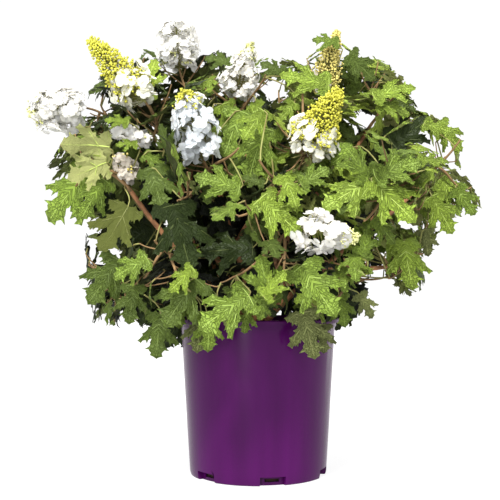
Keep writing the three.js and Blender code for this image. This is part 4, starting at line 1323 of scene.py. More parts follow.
class NodeTree:
    """A Geometry Nodes tree with one geometry in and out, and a named input for each of its sizes."""

    def __init__(self, name, *sizes):
        self.group = bpy.data.node_groups.new(name, "GeometryNodeTree")
        sockets = self.group.interface
        sockets.new_socket("Geometry", in_out="OUTPUT", socket_type="NodeSocketGeometry")
        sockets.new_socket("Geometry", in_out="INPUT", socket_type="NodeSocketGeometry")
        self.sizes = {}
        for size in sizes:
            self.sizes[size] = sockets.new_socket(size, in_out="INPUT", socket_type="NodeSocketFloat")
        self.inlet = self.group.nodes.new("NodeGroupInput")
        self.outlet = self.group.nodes.new("NodeGroupOutput")

    def add(self, kind, inputs=None, **settings):
        return add_node(self.group, kind, inputs, **settings)

    def given(self, name):
        return next(socket for socket in self.inlet.outputs if socket.name == name)

    def attribute(self, name, kind):
        return self.add("GeometryNodeInputNamedAttribute", {"Name": name}, data_type=kind)

    def is_value(self, name, value):
        """Where the whole number in the named attribute is this value."""
        return self.add(
            "FunctionNodeCompare", {"A": self.attribute(name, "FLOAT"), "B": float(value), "Epsilon": 0.1},
            data_type="FLOAT", operation="EQUAL",
        )

    def moved(self, geometry, way, size):
        """The geometry's points moved this way by this size."""
        offset = self.add("ShaderNodeVectorMath", {"Vector": way, "Scale": size}, operation="SCALE")
        return self.add("GeometryNodeSetPosition", {"Geometry": geometry, "Offset": offset})

    def with_relief(self, geometry, detail):
        """The surface with lumps out and in, by the inputs Grain and Relief."""
        lumps = self.add("ShaderNodeTexNoise", {"Scale": self.given("Grain"), "Detail": detail})
        centred = self.add("ShaderNodeMath", {"Value": lumps, "Value_001": 0.5}, operation="SUBTRACT")
        height = self.add(
            "ShaderNodeMath", {"Value": centred, "Value_001": self.given("Relief")}, operation="MULTIPLY",
        )
        return self.moved(geometry, self.add("GeometryNodeInputNormal"), height)

    def end(self, node):
        feed(self.group, self.outlet, self.outlet.inputs[0].identifier, node)

    def dress(self, thing, **values):
        modifier = thing.modifiers.new(self.group.name, "NODES")
        modifier.node_group = self.group
        for name, value in values.items():
            modifier[self.sizes[name].identifier] = value
        return baked(thing)


def stem_tree(name, sides, coats):
    """Tubes along the mesh's edges, with relief, and a coat for each value of the attribute tint."""
    tree = NodeTree(name, "Grain", "Relief")
    curve = tree.add("GeometryNodeMeshToCurve", {"Mesh": tree.given("Geometry")})
    ring = tree.add("GeometryNodeCurvePrimitiveCircle", {"Resolution": sides, "Radius": 1.0})
    tube = tree.add("GeometryNodeCurveToMesh", {
        "Curve": curve, "Profile Curve": ring, "Scale": tree.attribute("thickness", "FLOAT"),
        "Fill Caps": True,
    })
    rough = tree.with_relief(tube, 3.0)
    last = tree.add("GeometryNodeSetShadeSmooth", {"Geometry": rough, "Shade Smooth": True})
    for tint, coat in enumerate(coats):
        last = tree.add("GeometryNodeSetMaterial", {
            "Geometry": last, "Selection": tree.is_value("tint", tint), "Material": coat,
        })
    tree.end(last)
    return tree


def scatter_tree(name, shelf, coats):
    """The shapes of the shelf on the mesh's points, turned, sized and picked by its attributes.

    coats gives the material for each pair of an instance's tone and a shape's part.
    """
    tree = NodeTree(name, "Stray")
    shapes = tree.add("GeometryNodeCollectionInfo", {
        "Collection": shelf, "Separate Children": True, "Reset Children": True,
    })
    placed = tree.add("GeometryNodeInstanceOnPoints", {
        "Points": tree.given("Geometry"), "Instance": shapes, "Pick Instance": True,
        "Instance Index": tree.attribute("shape", "INT"),
        "Rotation": tree.attribute("turn", "QUATERNION"),
        "Scale": tree.attribute("size", "FLOAT"),
    })
    real = tree.add("GeometryNodeRealizeInstances", {"Geometry": placed})
    waves = tree.add("ShaderNodeTexNoise", {"Scale": STRAY_GRAIN, "Detail": 1.0})
    centred = tree.add("ShaderNodeVectorMath", {
        "Vector": waves.outputs["Color"], "Vector_001": (0.5, 0.5, 0.5),
    }, operation="SUBTRACT")
    last = tree.moved(real, centred, tree.given("Stray"))
    for (tone, part), coat in coats.items():
        both = tree.add("FunctionNodeBooleanMath", {
            "Boolean": tree.is_value("tone", tone), "Boolean_001": tree.is_value("part", part),
        }, operation="AND")
        last = tree.add("GeometryNodeSetMaterial", {"Geometry": last, "Selection": both, "Material": coat})
    tree.end(last)
    return tree


def scatter_mesh(name, spots):
    """One point for each spot: where it is, how it is turned, its size, shape and tone."""
    mesh = mesh_of(name, [spot["at"] * MM for spot in spots])
    give(mesh, "turn", "QUATERNION", [value for spot in spots for value in spot["turn"]])
    give(mesh, "size", "FLOAT", [spot["size"] * MM for spot in spots])
    give(mesh, "shape", "INT", [spot["shape"] for spot in spots])
    give(mesh, "tone", "INT", [spot["tone"] for spot in spots])
    return mesh


def lines_mesh(name, lines):
    """One edge chain for each line: its points, its radius at each point, its tint."""
    points, edges, radii, tints = [], [], [], []
    for line, thickness, tint in lines:
        first = len(points)
        points += [point * MM for point in line]
        edges += [(first + i, first + i + 1) for i in range(len(line) - 1)]
        radii += [each * MM for each in thickness]
        tints += [tint] * len(line)
    mesh = mesh_of(name, points, edges=edges)
    give(mesh, "thickness", "FLOAT", radii)
    give(mesh, "tint", "INT", tints)
    return mesh


def turn_to(way, facing):
    across = facing.cross(way)
    return Matrix((way, across, facing)).transposed().to_quaternion()


# Materials
class Shader:
    """A material with one Principled surface, and short ways to add patterns to it."""

    def __init__(self, name, color, roughness, **values):
        self.material = bpy.data.materials.new(name)
        self.material.use_nodes = True
        self.tree = self.material.node_tree
        self.surface = next(node for node in self.tree.nodes if node.type == "BSDF_PRINCIPLED")
        self.surface.inputs["Base Color"].default_value = (*color, 1)
        self.surface.inputs["Roughness"].default_value = roughness
        for key, value in values.items():
            self.surface.inputs[key.replace("_", " ")].default_value = value
        self.place = self.add("ShaderNodeTexCoord")

    def add(self, kind, inputs=None, **settings):
        return add_node(self.tree, kind, inputs, **settings)

    def stretched(self, source, stretch):
        where = self.place.outputs[source]
        return self.add("ShaderNodeMapping", {"Vector": where, "Scale": stretch}).outputs["Vector"]

    def noise(self, scale, detail=2.0, stretch=None):
        where = self.stretched("Object", stretch) if stretch else self.place.outputs["Object"]
        inputs = {"Vector": where, "Scale": scale, "Detail": detail}
        return self.add("ShaderNodeTexNoise", inputs).outputs[0]

    def ranged(self, value, first, last, low, high):
        return self.add("ShaderNodeMapRange", {
            "Value": value, "From Min": first, "From Max": last, "To Min": low, "To Max": high,
        }).outputs[0]

    def patches(self, scale, detail=2.0, low=0.0, high=1.0, stretch=None):
        """Noise with its middle range drawn out from low to high."""
        return self.ranged(self.noise(scale, detail, stretch), 0.3, 0.7, low, high)

    def reckon(self, operation, first, second):
        inputs = {"Value": first, "Value_001": second}
        return self.add("ShaderNodeMath", inputs, operation=operation).outputs[0]

    def mottle(self, first, second, field):
        mixed = self.add("ShaderNodeMix", {
            "Factor_Float": field, "A_Color": (*first, 1), "B_Color": (*second, 1),
        }, data_type="RGBA")
        color = next(each for each in mixed.outputs if each.identifier == "Result_Color")
        self.tree.links.new(color, self.surface.inputs["Base Color"])

    def bump(self, height, strength, distance):
        bump = self.add("ShaderNodeBump", {"Height": height, "Strength": strength, "Distance": distance})
        self.tree.links.new(bump.outputs["Normal"], self.surface.inputs["Normal"])


def shade(color, share):
    return tuple(channel * share for channel in color)


def leaf_material(name, color, roughness, line_share, quilt):
    """Raised cells in a fine net of veins, with straight veinlets that branch off the leaf's own veins.
    Lines darker than the blade are painted shade in the sunk veins; broad patches of the same colour are
    partly tone at random and partly painted shade.
    """
    shader = Shader(name, color, roughness, Specular_IOR_Level=0.14)
    bands = shader.add("ShaderNodeTexWave", {
        "Vector": shader.stretched("UV", (1.0, -0.5, 0.0)), "Scale": VEINLET_SCALE,
    }, bands_direction="DIAGONAL", wave_profile="TRI").outputs["Fac"]
    veinlets = shader.ranged(bands, 0.82, 1.0, 0.0, 0.75)
    cells = shader.add("ShaderNodeTexVoronoi", {
        "Vector": shader.stretched("UV", (CELLS_ALONG, CELLS_ACROSS, 0.0)), "Scale": 1.0,
    }, feature="DISTANCE_TO_EDGE").outputs["Distance"]
    net = shader.ranged(cells, 0.02, 0.12, 0.5, 0.0)
    lines = shader.reckon("MAXIMUM", net, veinlets)
    field = shader.reckon("ADD", lines, shader.patches(24.0, low=-0.15, high=0.6))
    # Painted shade where line_share is below one: darker lines in the sunk veins and darker broad patches
    shader.mottle(color, shade(color, line_share), field)
    shader.bump(shader.reckon("SUBTRACT", 1.0, lines), quilt, QUILT_DEPTH)
    return shader.material


def leaf_coats():
    """The materials of a leaf's upper side, under side and veins, for each tone, which is in part painted
    light and painted shade.
    """
    coats = {}
    for tone, (name, colours) in enumerate(LEAF_TONES_AND_SHADES.items()):
        for part, (side, roughness, line_share, quilt) in enumerate(LEAF_FINISH):
            if side == "upper" and name in DARK_TONES:
                line_share = DARK_LINE_SHARE
            coat_name = f"leaf_{name}_{side}"
            coats[tone, part] = leaf_material(coat_name, colours[part], roughness, line_share, quilt)
    return coats


def petal_material(name, color):
    shader = Shader(
        f"petal_{name}", color, 0.7, Specular_IOR_Level=0.25, Subsurface_Weight=0.8,
        Subsurface_Scale=0.006, Subsurface_Radius=(1.0, 0.95, 0.8),
    )
    shader.mottle(shade(color, 0.93), shade(color, 1.04), shader.patches(60.0))
    shader.bump(shader.noise(420.0), 0.25, 0.0006)
    return shader.material


def bud_material(name, color):
    shader = Shader(f"bud_{name}", color, 0.55)
    shader.mottle(shade(color, 0.7), shade(color, 1.25), shader.patches(140.0))
    shader.bump(shader.noise(900.0), 0.2, 0.0004)
    return shader.material


def bloom_coats():
    petals = [petal_material(name, color) for name, color in PETAL_TONES.items()]
    buds = [bud_material(name, color) for name, color in BUD_TONES.items()]
    return {(tone, 0): coat for tone, coat in enumerate(petals + buds)}


def bark_material(name, colours, grain):
    light, dark = colours
    shader = Shader(name, light, 0.8, Specular_IOR_Level=0.25)
    streaks = shader.noise(grain, 4.0, stretch=(1.0, 1.0, 0.22))
    shader.mottle(dark, light, shader.ranged(streaks, 0.3, 0.7, 0.0, 1.0))
    shader.bump(streaks, 0.7, 0.0012)
    return shader.material


def pot_material():
    shader = Shader("pot_plastic", POT_COLOUR, 0.24, Specular_IOR_Level=0.12)
    streaks = shader.patches(26.0, 3.0, stretch=(1.0, 1.0, 0.06))
    shader.mottle(shade(POT_COLOUR, 0.84), shade(POT_COLOUR, 1.14), streaks)
    shader.bump(shader.noise(700.0), 0.06, 0.0003)
    return shader.material


def soil_material(name, colours):
    light, dark = colours
    shader = Shader(name, light, 0.95, Specular_IOR_Level=0.15)
    shader.mottle(dark, light, shader.patches(160.0, 4.0))
    shader.bump(shader.noise(420.0, 4.0), 0.8, 0.0015)
    return shader.material


# Leaf shapes
def moved_panels(random):
    """The panels of one half of a leaf, with every point off the midrib moved a little by chance."""
    moved = {}

    def place(point):
        if point[1] == 0:
            return point
        if point not in moved:
            moved[point] = tuple(each + POINT_PLAY * spread(random) for each in point)
        return moved[point]

    panels = []
    for (root, tip), line in PANELS:
        vein = (place(root), place(tip))
        panels.append((vein, serrated(vein, [place(point) for point in (*line, tip)])))
    return panels


def serrated(vein, line):
    """The line with a notch between every two of its points along the leaf's edge."""
    toothed = line[:2]
    last = len(line) - 1
    for i in range(1, last):
        share = (i + 0.5) / last
        notch = []
        for axis in range(2):
            middle = (line[i][axis] + line[i + 1][axis]) / 2
            notch.append(mix(middle, mix(vein[0][axis], vein[1][axis], share), TOOTH_DEPTH))
        toothed += [tuple(notch), line[i + 1]]
    return toothed


class LeafSheet:
    """The height of a leaf's surface, in shares of its length."""

    def __init__(self, bend, random):
        self.bend = bend
        self.phase = random() * math.pi * 2
        self.twist = 0.16 * spread(random)
        self.fold = mix(0.0, 0.14, random())

    def height(self, u, v):
        ripple = WAVE * math.sin(13 * u + self.phase + 9 * v) * min(abs(v) / 0.25, 1)
        droop = -self.bend * u * u - 0.32 * v * v
        return droop + self.fold * abs(v) + ripple + self.twist * u * v


def leaf_point(sheet, panel, step, out, is_under):
    """A point of a panel: the step along it, and whether it lies on the vein (0) or on the line (1)."""
    number, ((root, tip), line) = panel
    share = step / PANEL_STEPS
    u = mix(mix(root[0], tip[0], share), line[step][0], out)
    v = mix(mix(root[1], tip[1], share), line[step][1], out)
    is_edge = step == PANEL_STEPS or (out == 1 and (step > 0 or number == 0))
    puff = PUFF * out * (1 - share)
    under = BLADE_THICKNESS if is_under and not is_edge else 0
    return u, v, sheet.height(u, v) + puff - under


def new_shape():
    shape = bmesh.new()
    shape.faces.layers.int.new("part")
    return shape


def add_face(shape, places, part, uvs=()):
    face = shape.faces.new([shape.verts.new(place) for place in places])
    face.smooth = True
    face[shape.faces.layers.int["part"]] = part
    layer = shape.loops.layers.uv.verify()
    for loop, uv in zip(face.loops, uvs):
        loop[layer].uv = uv


def add_sheet(shape, sheet, panels, way, is_under):
    """One side of half a leaf. A corner that falls on another one is left out."""
    for panel in enumerate(panels):
        for i in range(PANEL_STEPS):
            places, uvs = [], []
            for step, out in ((i, 0), (i + 1, 0), (i + 1, 1), (i, 1)):
                u, v, z = leaf_point(sheet, panel, step, out, is_under)
                place = Vector((u, way * v, z))
                if all((place - other).length > WELD for other in places):
                    places.append(place)
                    uvs.append((panel[0] + step / PANEL_STEPS, out))
            if len(places) > 2:
                add_face(shape, places, 1 if is_under else 0, uvs)


def add_ridge(shape, sheet, vein, way, width, pieces):
    """A vein that stands out on both sides of the blade, three-sided, closed at its ends."""
    start, end = vein
    across = Vector((way * (start[1] - end[1]), end[0] - start[0], 0)).normalized()
    rise = UP * RIDGE_RISE
    rings = []
    for i in range(pieces + 1):
        share = 0.93 * i / pieces
        u = mix(start[0], end[0], share)
        v = mix(start[1], end[1], share)
        middle = Vector((u, way * v, sheet.height(u, v) - BLADE_THICKNESS / 2))
        size = width * mix(1.0, 0.3, share)
        rings.append((middle + across * size + rise, middle - across * size + rise, middle - UP * size))
    for ring, after in zip(rings, rings[1:]):
        for side in range(3):
            beside = (side + 1) % 3
            add_face(shape, (ring[side], ring[beside], after[beside], after[side]), 2)
    add_face(shape, rings[0], 2)
    add_face(shape, rings[-1], 2)


def leaf_template(name, bend, seed):
    random = random_source(seed_of(seed, LEAF_SHAPE_DRAW))
    sheet = LeafSheet(bend, random)
    shape = new_shape()
    ridges = new_shape()
    add_ridge(ridges, sheet, ((-0.01, 0), (1, 0)), 1, RIDGE, 6)
    for way in (1, -1):
        panels = moved_panels(random)
        add_sheet(shape, sheet, panels, way, False)
        add_sheet(shape, sheet, panels, way, True)
        add_ridge(ridges, sheet, panels[0][0], way, 0.6 * RIDGE, 2)
        add_ridge(ridges, sheet, panels[2][0], way, 0.7 * RIDGE, 3)
    mesh = bpy.data.meshes.new(name)
    ridges.to_mesh(mesh)
    ridges.free()
    bmesh.ops.remove_doubles(shape, verts=shape.verts, dist=WELD)
    shape.from_mesh(mesh)
    bmesh.ops.remove_doubles(shape, verts=shape.verts, dist=WELD)
    finish_template(shape, mesh)
    return mesh


def finish_template(shape, mesh):
    """Faces outward, smooth but for the thin edges between an upper and an under side."""
    bmesh.ops.recalc_face_normals(shape, faces=shape.faces)
    for edge in shape.edges:
        edge.smooth = len(edge.link_faces) == 2 and edge.calc_face_angle(0) < SHARP_ANGLE
    shape.to_mesh(mesh)
    shape.free()


def leaf_templates():
    count = len(LEAF_BENDS) * SHAPES_PER_BEND
    return shelf_of("leaf shapes", [
        leaf_template(f"leaf_{number:02d}", LEAF_BENDS[number // SHAPES_PER_BEND], number)
        for number in range(count)
    ])


def leaf_shape_number(bend, random):
    nearest = min(range(len(LEAF_BENDS)), key=lambda i: abs(LEAF_BENDS[i] - bend))
    return nearest * SHAPES_PER_BEND + int(random() * SHAPES_PER_BEND)


# Blossom shapes
def floret_template(name, seed):
    """Four sepals, each a shallow cup of its own that is closed on both sides."""
    random = random_source(seed_of(seed, FLORET_SHAPE_DRAW))
    points, faces = [], []
    count = len(SEPAL)
    for sepal in range(4):
        turn = math.pi / 2 * sepal + 0.12 * spread(random)
        cup = mix(-0.1, 0.35, random())
        level = 0.03 * (sepal % 2)
        size = 1 + 0.12 * spread(random)
        first = len(points)
        for number, place in enumerate([*SEPAL, SEPAL_MIDDLE, SEPAL_MIDDLE]):
            x, y = place[0] * size, place[1] * size
            rise = cup * (x * 2) ** 2 * 0.5 + level + 0.3 * y * y
            if number > count:
                rise -= SEPAL_THICKNESS
            along = x * math.cos(turn) - y * math.sin(turn)
            across = x * math.sin(turn) + y * math.cos(turn)
            points.append((along, across, rise))
        for i in range(count):
            after = (i + 1) % count
            faces.append((first + count, first + after, first + i))
            faces.append((first + count + 1, first + i, first + after))
    return close_template(name, points, faces)


def close_template(name, points, faces):
    """A smooth closed shape that is all one part."""
    mesh = mesh_of(name, points, faces)
    mesh.attributes.new("part", "INT", "FACE")
    shape = bmesh.new()
    shape.from_mesh(mesh)
    for face in shape.faces:
        face.smooth = True
    finish_template(shape, mesh)
    return mesh


def bud_template(name):
    points = [(0, 0, -1)]
    for radius, height in BUD_PROFILE:
        for side in range(BUD_SIDES):
            turn = 2 * math.pi * side / BUD_SIDES
            points.append((radius * math.cos(turn), radius * math.sin(turn), height))
    points.append((0, 0, BUD_TIP))
    last = len(points) - 1
    faces = [tuple(1 + corner for corner in face) for face in ring_corners(len(BUD_PROFILE), BUD_SIDES)]
    for side in range(BUD_SIDES):
        after = (side + 1) % BUD_SIDES
        faces.append((0, 1 + after, 1 + side))
        faces.append((last - BUD_SIDES + side, last - BUD_SIDES + after, last))
    return close_template(name, points, faces)


def blossom_templates():
    """The florets' shapes, and the bud's after them in the order of their names."""
    florets = [floret_template(f"floret_{number}", number) for number in range(FLORET_SHAPES)]
    return shelf_of("blossom shapes", [*florets, bud_template("sprout_bud")])


# Panicles
class Panicle:
    """A panicle's florets and buds as spots, and its fine stems as lines."""

    def __init__(self, name, order):
        self.base, self.axis, self.length = panicle_axis(name)
        self.level, self.over = side_axes(self.axis)
        self.form = panicle_form(name, 0.7, 0.35)
        self.random = random_source(seed_of(PANICLE_DRAW, order))
        self.spots = []
        spine = [self.base - self.axis * 4, self.on_axis(0.5), self.on_axis(0.94)]
        self.lines = [(spine, [1.9, 1.4, 0.7], 1)]
        petal, first, last, florets, width, bud, bud_first, bud_last, buds = PANICLE_LOOKS[name]
        tones = [*PETAL_TONES, *BUD_TONES]
        self.add_florets(tones.index(petal), first, last, florets, width)
        self.add_buds(tones.index(bud), bud_first, bud_last, buds)

    def on_axis(self, share):
        return self.base + self.axis * (share * self.length)

    def radius_at(self, share):
        for (low, before), (high, after) in zip(self.form, self.form[1:]):
            if share <= high:
                return mix(before, after, (share - low) / (high - low))
        return self.form[-1][1]

    def on_surface(self, share, turn, depth):
        radial = self.level * math.cos(turn) + self.over * math.sin(turn)
        return self.on_axis(share) + radial * (self.radius_at(share) * depth), radial

    def add_florets(self, tone, first, last, count, width):
        random = self.random
        for i in range(count):
            share = mix(first, last, (i + 0.5) / count)
            turn = i * GOLDEN_TURN + 0.6 * spread(random)
            place, radial = self.on_surface(share, turn, mix(0.55, 1.12, random()))
            lift = mix(0.1, 0.85, share ** 3)
            facing = radial * math.cos(lift) + self.axis * math.sin(lift) + UP * (0.3 - 0.3 * share)
            facing = (facing + random_vector(random) * 0.6).normalized()
            way = square_to(random_vector(random), facing)
            self.spots.append({
                "at": place, "turn": turn_to(way, facing), "size": width * mix(0.8, 1.12, random()),
                "shape": int(random() * FLORET_SHAPES), "tone": tone,
            })
            stem_foot = self.on_axis(max(share - 0.12, 0))
            self.lines.append(([stem_foot, place - facing * 1.5], [0.55, 0.45], 1))

    def add_buds(self, tone, first, last, count):
        random = self.random
        clusters = max(count // BUDS_IN_CLUSTER, 1)
        for i in range(count):
            cluster = i // BUDS_IN_CLUSTER
            share = mix(first, last, (cluster + 0.5) / clusters)
            turn = cluster * GOLDEN_TURN + 0.8
            place, radial = self.on_surface(share, turn, mix(0.5, 0.98, random()))
            at = place + random_vector(random) * mix(5.5, 3.0, share)
            facing = (radial + self.axis * 0.6 + random_vector(random) * 0.3).normalized()
            self.spots.append({
                "at": at, "turn": turn_to(square_to(random_vector(random), facing), facing),
                "size": mix(1.3, 2.3, random()), "shape": FLORET_SHAPES, "tone": tone,
            })
            if i % BUDS_PER_STEM == 0:
                stem_foot = self.on_axis(max(share - 0.1, 0))
                self.lines.append(([stem_foot, at - facing], [0.5, 0.35], 1))


# Foliage of each mass
def leaf_spots(mass):
    tones = list(LEAF_TONES_AND_SHADES)
    spots = []
    for number, pose in enumerate(mass["leaves"]):
        random = random_source(seed_of(mass["index"], LEAF_LOOKS_DRAW, number))
        spots.append({
            "at": pose["foot"], "turn": turn_to(pose["way"], pose["facing"]),
            "size": pose["length"] * (PAIRED_LEAF_SHARE if pose["kind"] == "paired" else 1),
            "shape": leaf_shape_number(pose["bend"], random), "tone": tones.index(pose["tone"]),
        })
    return spots


def stem_line(curve, pieces, radii, tint):
    """Points along the curve and their radii, from the first radius to the last."""
    shares = [i / pieces for i in range(pieces + 1)]
    return [curve.point_at(share) for share in shares], [mix(*radii, share) for share in shares], tint


def twig_lines(mass):
    lines = []
    for stems, end_radius in ((mass["shoots"], TWIG_END_RADIUS), (mass["branches"], SIDE_SHOOT_END_RADIUS)):
        for stem in stems:
            lines.append(stem_line(stem["curve"], SHOOT_POINTS, (stem["start_radius"], end_radius), 0))
    for pose in mass["leaves"]:
        curve = Arc(pose["root"], pose["stalk_way"], pose["foot"], pose["way"], 0.3)
        lines.append(stem_line(curve, STALK_POINTS, STALK_RADII, 1))
    return lines


def dress_masses(masses):
    leaf_growth = scatter_tree("Leaves", leaf_templates(), leaf_coats())
    bloom_growth = scatter_tree("Blossom", blossom_templates(), bloom_coats())
    twig_growth = stem_tree("Twigs", 6, [
        bark_material("twig_bark", TWIG_COLOURS, 120.0), bark_material("stalk", STALK_COLOURS, 90.0),
    ])
    order = 0
    for mass in masses:
        node = f"leaves_{mass['name']}"
        leaves = linked(f"foliage_{mass['name']}", scatter_mesh("leaf points", leaf_spots(mass)))
        keep_as(leaf_growth.dress(leaves, Stray=LEAF_STRAY), "foliage", node)
        lines = twig_lines(mass)
        spots = []
        for name in mass["panicles"]:
            panicle = Panicle(name, order)
            order += 1
            spots += panicle.spots
            lines += panicle.lines
        twigs = linked(f"twigs_{mass['name']}", lines_mesh("twig lines", lines))
        keep_as(twig_growth.dress(twigs, **TWIG_BARK), "bark", node)
        if spots:
            bloom = linked(f"blossom_{mass['name']}", scatter_mesh("bloom points", spots))
            keep_as(bloom_growth.dress(bloom, Stray=FLORET_STRAY), "blossom", node)


# Limbs
def limb_line(limb):
    pieces = math.ceil(limb["curve"].lengths[-1] / LIMB_STRETCH)
    return stem_line(limb["curve"], pieces, limb["radii"], 0)


def dress_limbs(limbs, bark):
    growth = stem_tree("Limbs", LIMB_SIDES, [bark])
    for kind in ("cane", "bough"):
        chosen = [limb for limb in limbs.values() if limb["name"].startswith(kind)]
        thing = linked(f"{kind}s_bark", lines_mesh("limb lines", [limb_line(limb) for limb in chosen]))
        growth.dress(thing, **LIMB_BARK)
        keep_as(thing, "bark", *[limb["name"] for limb in chosen])


def stem_base_mesh():
    """The flared stump and the foot of each cane, which overlap."""
    foot = SOIL_TOP + CLEARANCE
    top = foot + CROWN_HEIGHT
    profile = [
        (POLE_RADIUS, foot), (CROWN_FLARE, foot), (CROWN_RADIUS + 4, foot + 5), (CROWN_RADIUS, foot + 13),
        (CROWN_RADIUS - 2, top - 6), (CROWN_RADIUS - 7, top), (POLE_RADIUS, top + 2),
    ]
    points, faces = rough_lathe(profile, BASE_SIDES, Vector(), UP)
    faces.append(tuple(reversed(range(BASE_SIDES))))
    faces.append(tuple(range(len(points) - BASE_SIDES, len(points))))
    shapes = [(points, faces)]
    tips = [tip for _, parent, _, tip in LIMBS if parent == "stem_base"]
    for order, tip in enumerate(tips):
        end, way = fork_of(tip, order)
        start = Vector((end.x * 0.2, end.y * 0.2, foot + 8))
        shapes.append(rough_stem(Arc(start, UP, end, way), CANE_RADIUS + 2.5, CANE_RADIUS + 0.5, 10, 4))
    points, faces = joined(shapes)
    return mesh_of("stem base", [point * MM for point in points], faces)


def dress_stem_base(bark):
    thing = linked("stem_base_bark", stem_base_mesh())
    remesh = thing.modifiers.new("Join", "REMESH")
    remesh.mode = "VOXEL"
    remesh.voxel_size = BASE_VOXEL * MM
    remesh.use_smooth_shade = True
    baked(thing)
    tree = NodeTree("Bark relief", "Grain", "Relief")
    rough = tree.with_relief(tree.given("Geometry"), 4.0)
    tree.end(tree.add("GeometryNodeSetMaterial", {"Geometry": rough, "Material": bark}))
    tree.dress(thing, **BASE_BARK)
    keep_as(thing, "bark", "stem_base")


# Pot
def body_radius(height):
    return mix(BODY_FOOT_RADIUS, BODY_TOP_RADIUS, height / (POT_HEIGHT - RIM_DEPTH - COLLAR_DEPTH))


def lathe_mesh(name, profile, columns):
    """The profile turned round the upright axis, closed by a small face at each end."""
    points = []
    for radius, height in profile:
        for column in range(columns):
            turn = 2 * math.pi * column / columns - math.pi / 2 + math.radians(POT_COLUMN_START_DEG)
            points.append(Vector((radius * math.cos(turn), radius * math.sin(turn), height)) * MM)
    faces = list(ring_corners(len(profile), columns))
    faces.append(tuple(reversed(range(columns))))
    faces.append(tuple(range(len(points) - columns, len(points))))
    return mesh_of(name, points, faces)


def ring_block(inner, outer, foot, height, middle_deg, width_deg):
    """Points and faces of a block in the shape of a ring's sector, 0 degrees at the front."""
    top = foot + height
    points = []
    for step in range(SECTOR_STEPS + 1):
        turn = math.radians(middle_deg - 90 + width_deg * (step / SECTOR_STEPS - 0.5))
        for radius, level in ((inner, foot), (outer, foot), (outer, top), (inner, top)):
            points.append(Vector((radius * math.cos(turn), radius * math.sin(turn), level)) * MM)
    faces = list(ring_corners(SECTOR_STEPS + 1, 4))
    faces += [(3, 2, 1, 0), tuple(range(len(points) - 4, len(points)))]
    return points, faces


def blocks_round_foot(name, inner, outer, foot, height, width_deg):
    """The same block at each notch of the pot's foot."""
    middles = [NOTCH_FIRST_DEG + i * 360 / NOTCHES for i in range(NOTCHES)]
    blocks = joined(ring_block(inner, outer, foot, height, middle, width_deg) for middle in middles)
    mesh = mesh_of(name, *blocks)
    shape = bmesh.new()
    shape.from_mesh(mesh)
    bmesh.ops.recalc_face_normals(shape, faces=shape.faces)
    shape.to_mesh(mesh)
    shape.free()
    return linked(name, mesh)


def combine(thing, tool, operation):
    step = thing.modifiers.new(operation, "BOOLEAN")
    step.operation = operation
    step.object = tool
    step.solver = "EXACT"
    step.use_self = True
    baked(thing)
    bpy.data.objects.remove(tool)


def pot_profile():
    """From the middle of the underside, up the outside, over the rim and down the inside."""
    rim_foot = POT_HEIGHT - RIM_DEPTH
    collar_foot = rim_foot - COLLAR_DEPTH
    mouth = COLLAR_RADIUS - POT_WALL
    return [
        (POLE_RADIUS, 0), (BODY_FOOT_RADIUS - FOOT_CHAMFER, 0), (BODY_FOOT_RADIUS - 1, 1),
        (body_radius(6), 6), (body_radius(20), 20), (body_radius(120), 120),
        (BODY_TOP_RADIUS, collar_foot), (COLLAR_RADIUS, collar_foot), (COLLAR_RADIUS, rim_foot),
        (RIM_RADIUS, rim_foot), (RIM_RADIUS, POT_HEIGHT - RIM_ROUND), (RIM_RADIUS - RIM_ROUND, POT_HEIGHT),
        (mouth, POT_HEIGHT), (mouth, collar_foot + POT_WALL), (BODY_TOP_RADIUS - POT_WALL, collar_foot),
        (body_radius(POT_FLOOR) - POT_WALL, POT_FLOOR), (POLE_RADIUS, POT_FLOOR),
    ]


def cut_drain_notches(pot):
    """Notches in the foot, with walls of their own inside the pot, and a slot through the back of each."""
    back = BODY_FOOT_RADIUS - NOTCH_DEPTH
    skin = BODY_FOOT_RADIUS - 1
    walls_height = NOTCH_HEIGHT + POT_WALL - 1
    walls_width = NOTCH_WIDTH_DEG + NOTCH_FRAME_DEG
    walls = blocks_round_foot("notch walls", back - POT_WALL, skin, 1, walls_height, walls_width)
    combine(pot, walls, "UNION")
    outside = BODY_FOOT_RADIUS + 10
    notches = blocks_round_foot("notches", back, outside, -1, NOTCH_HEIGHT + 1, NOTCH_WIDTH_DEG)
    combine(pot, notches, "DIFFERENCE")
    slots = blocks_round_foot("slots", back - 6, back + 2, SLOT_FOOT, SLOT_HEIGHT, SLOT_WIDTH_DEG)
    combine(pot, slots, "DIFFERENCE")


def dress_pot(plastic):
    pot = linked("pot_shell", lathe_mesh("pot", pot_profile(), 360 // POT_COLUMN_DEG))
    cut_drain_notches(pot)
    bevel = pot.modifiers.new("Soft edges", "BEVEL")
    bevel.width = EDGE_ROUND * MM
    bevel.segments = 2
    bevel.limit_method = "ANGLE"
    bevel.angle_limit = math.radians(35)
    baked(pot)
    pot.data.materials.clear()
    pot.data.materials.append(plastic)
    pot.data.shade_smooth()
    pot.data.set_sharp_from_angle(angle=math.radians(32))
    keep_as(pot, "pot_plastic", "pot")


# Soil
def soil_level(share):
    """The height of the soil's surface at this share of the way in from the pot's wall."""
    return mix(SOIL_TOP - SOIL_EDGE_DROP, SOIL_TOP, min(share * 1.5, 1))


def soil_mesh(wall):
    side_gap = POT_WALL + CLEARANCE + SOIL_SIDE_PLAY
    around = BODY_FOOT_RADIUS - NOTCH_DEPTH - POT_WALL - 2
    over = NOTCH_HEIGHT + POT_WALL + 1
    profile = [
        (POLE_RADIUS, POT_FLOOR + CLEARANCE), (around, POT_FLOOR + CLEARANCE), (around, over),
        (body_radius(over) - side_gap, over),
    ]
    for ring in range(SOIL_RINGS):
        share = ring / SOIL_RINGS
        profile.append((mix(wall, POLE_RADIUS, share), soil_level(share)))
    return lathe_mesh("soil", profile, SOIL_COLUMNS)


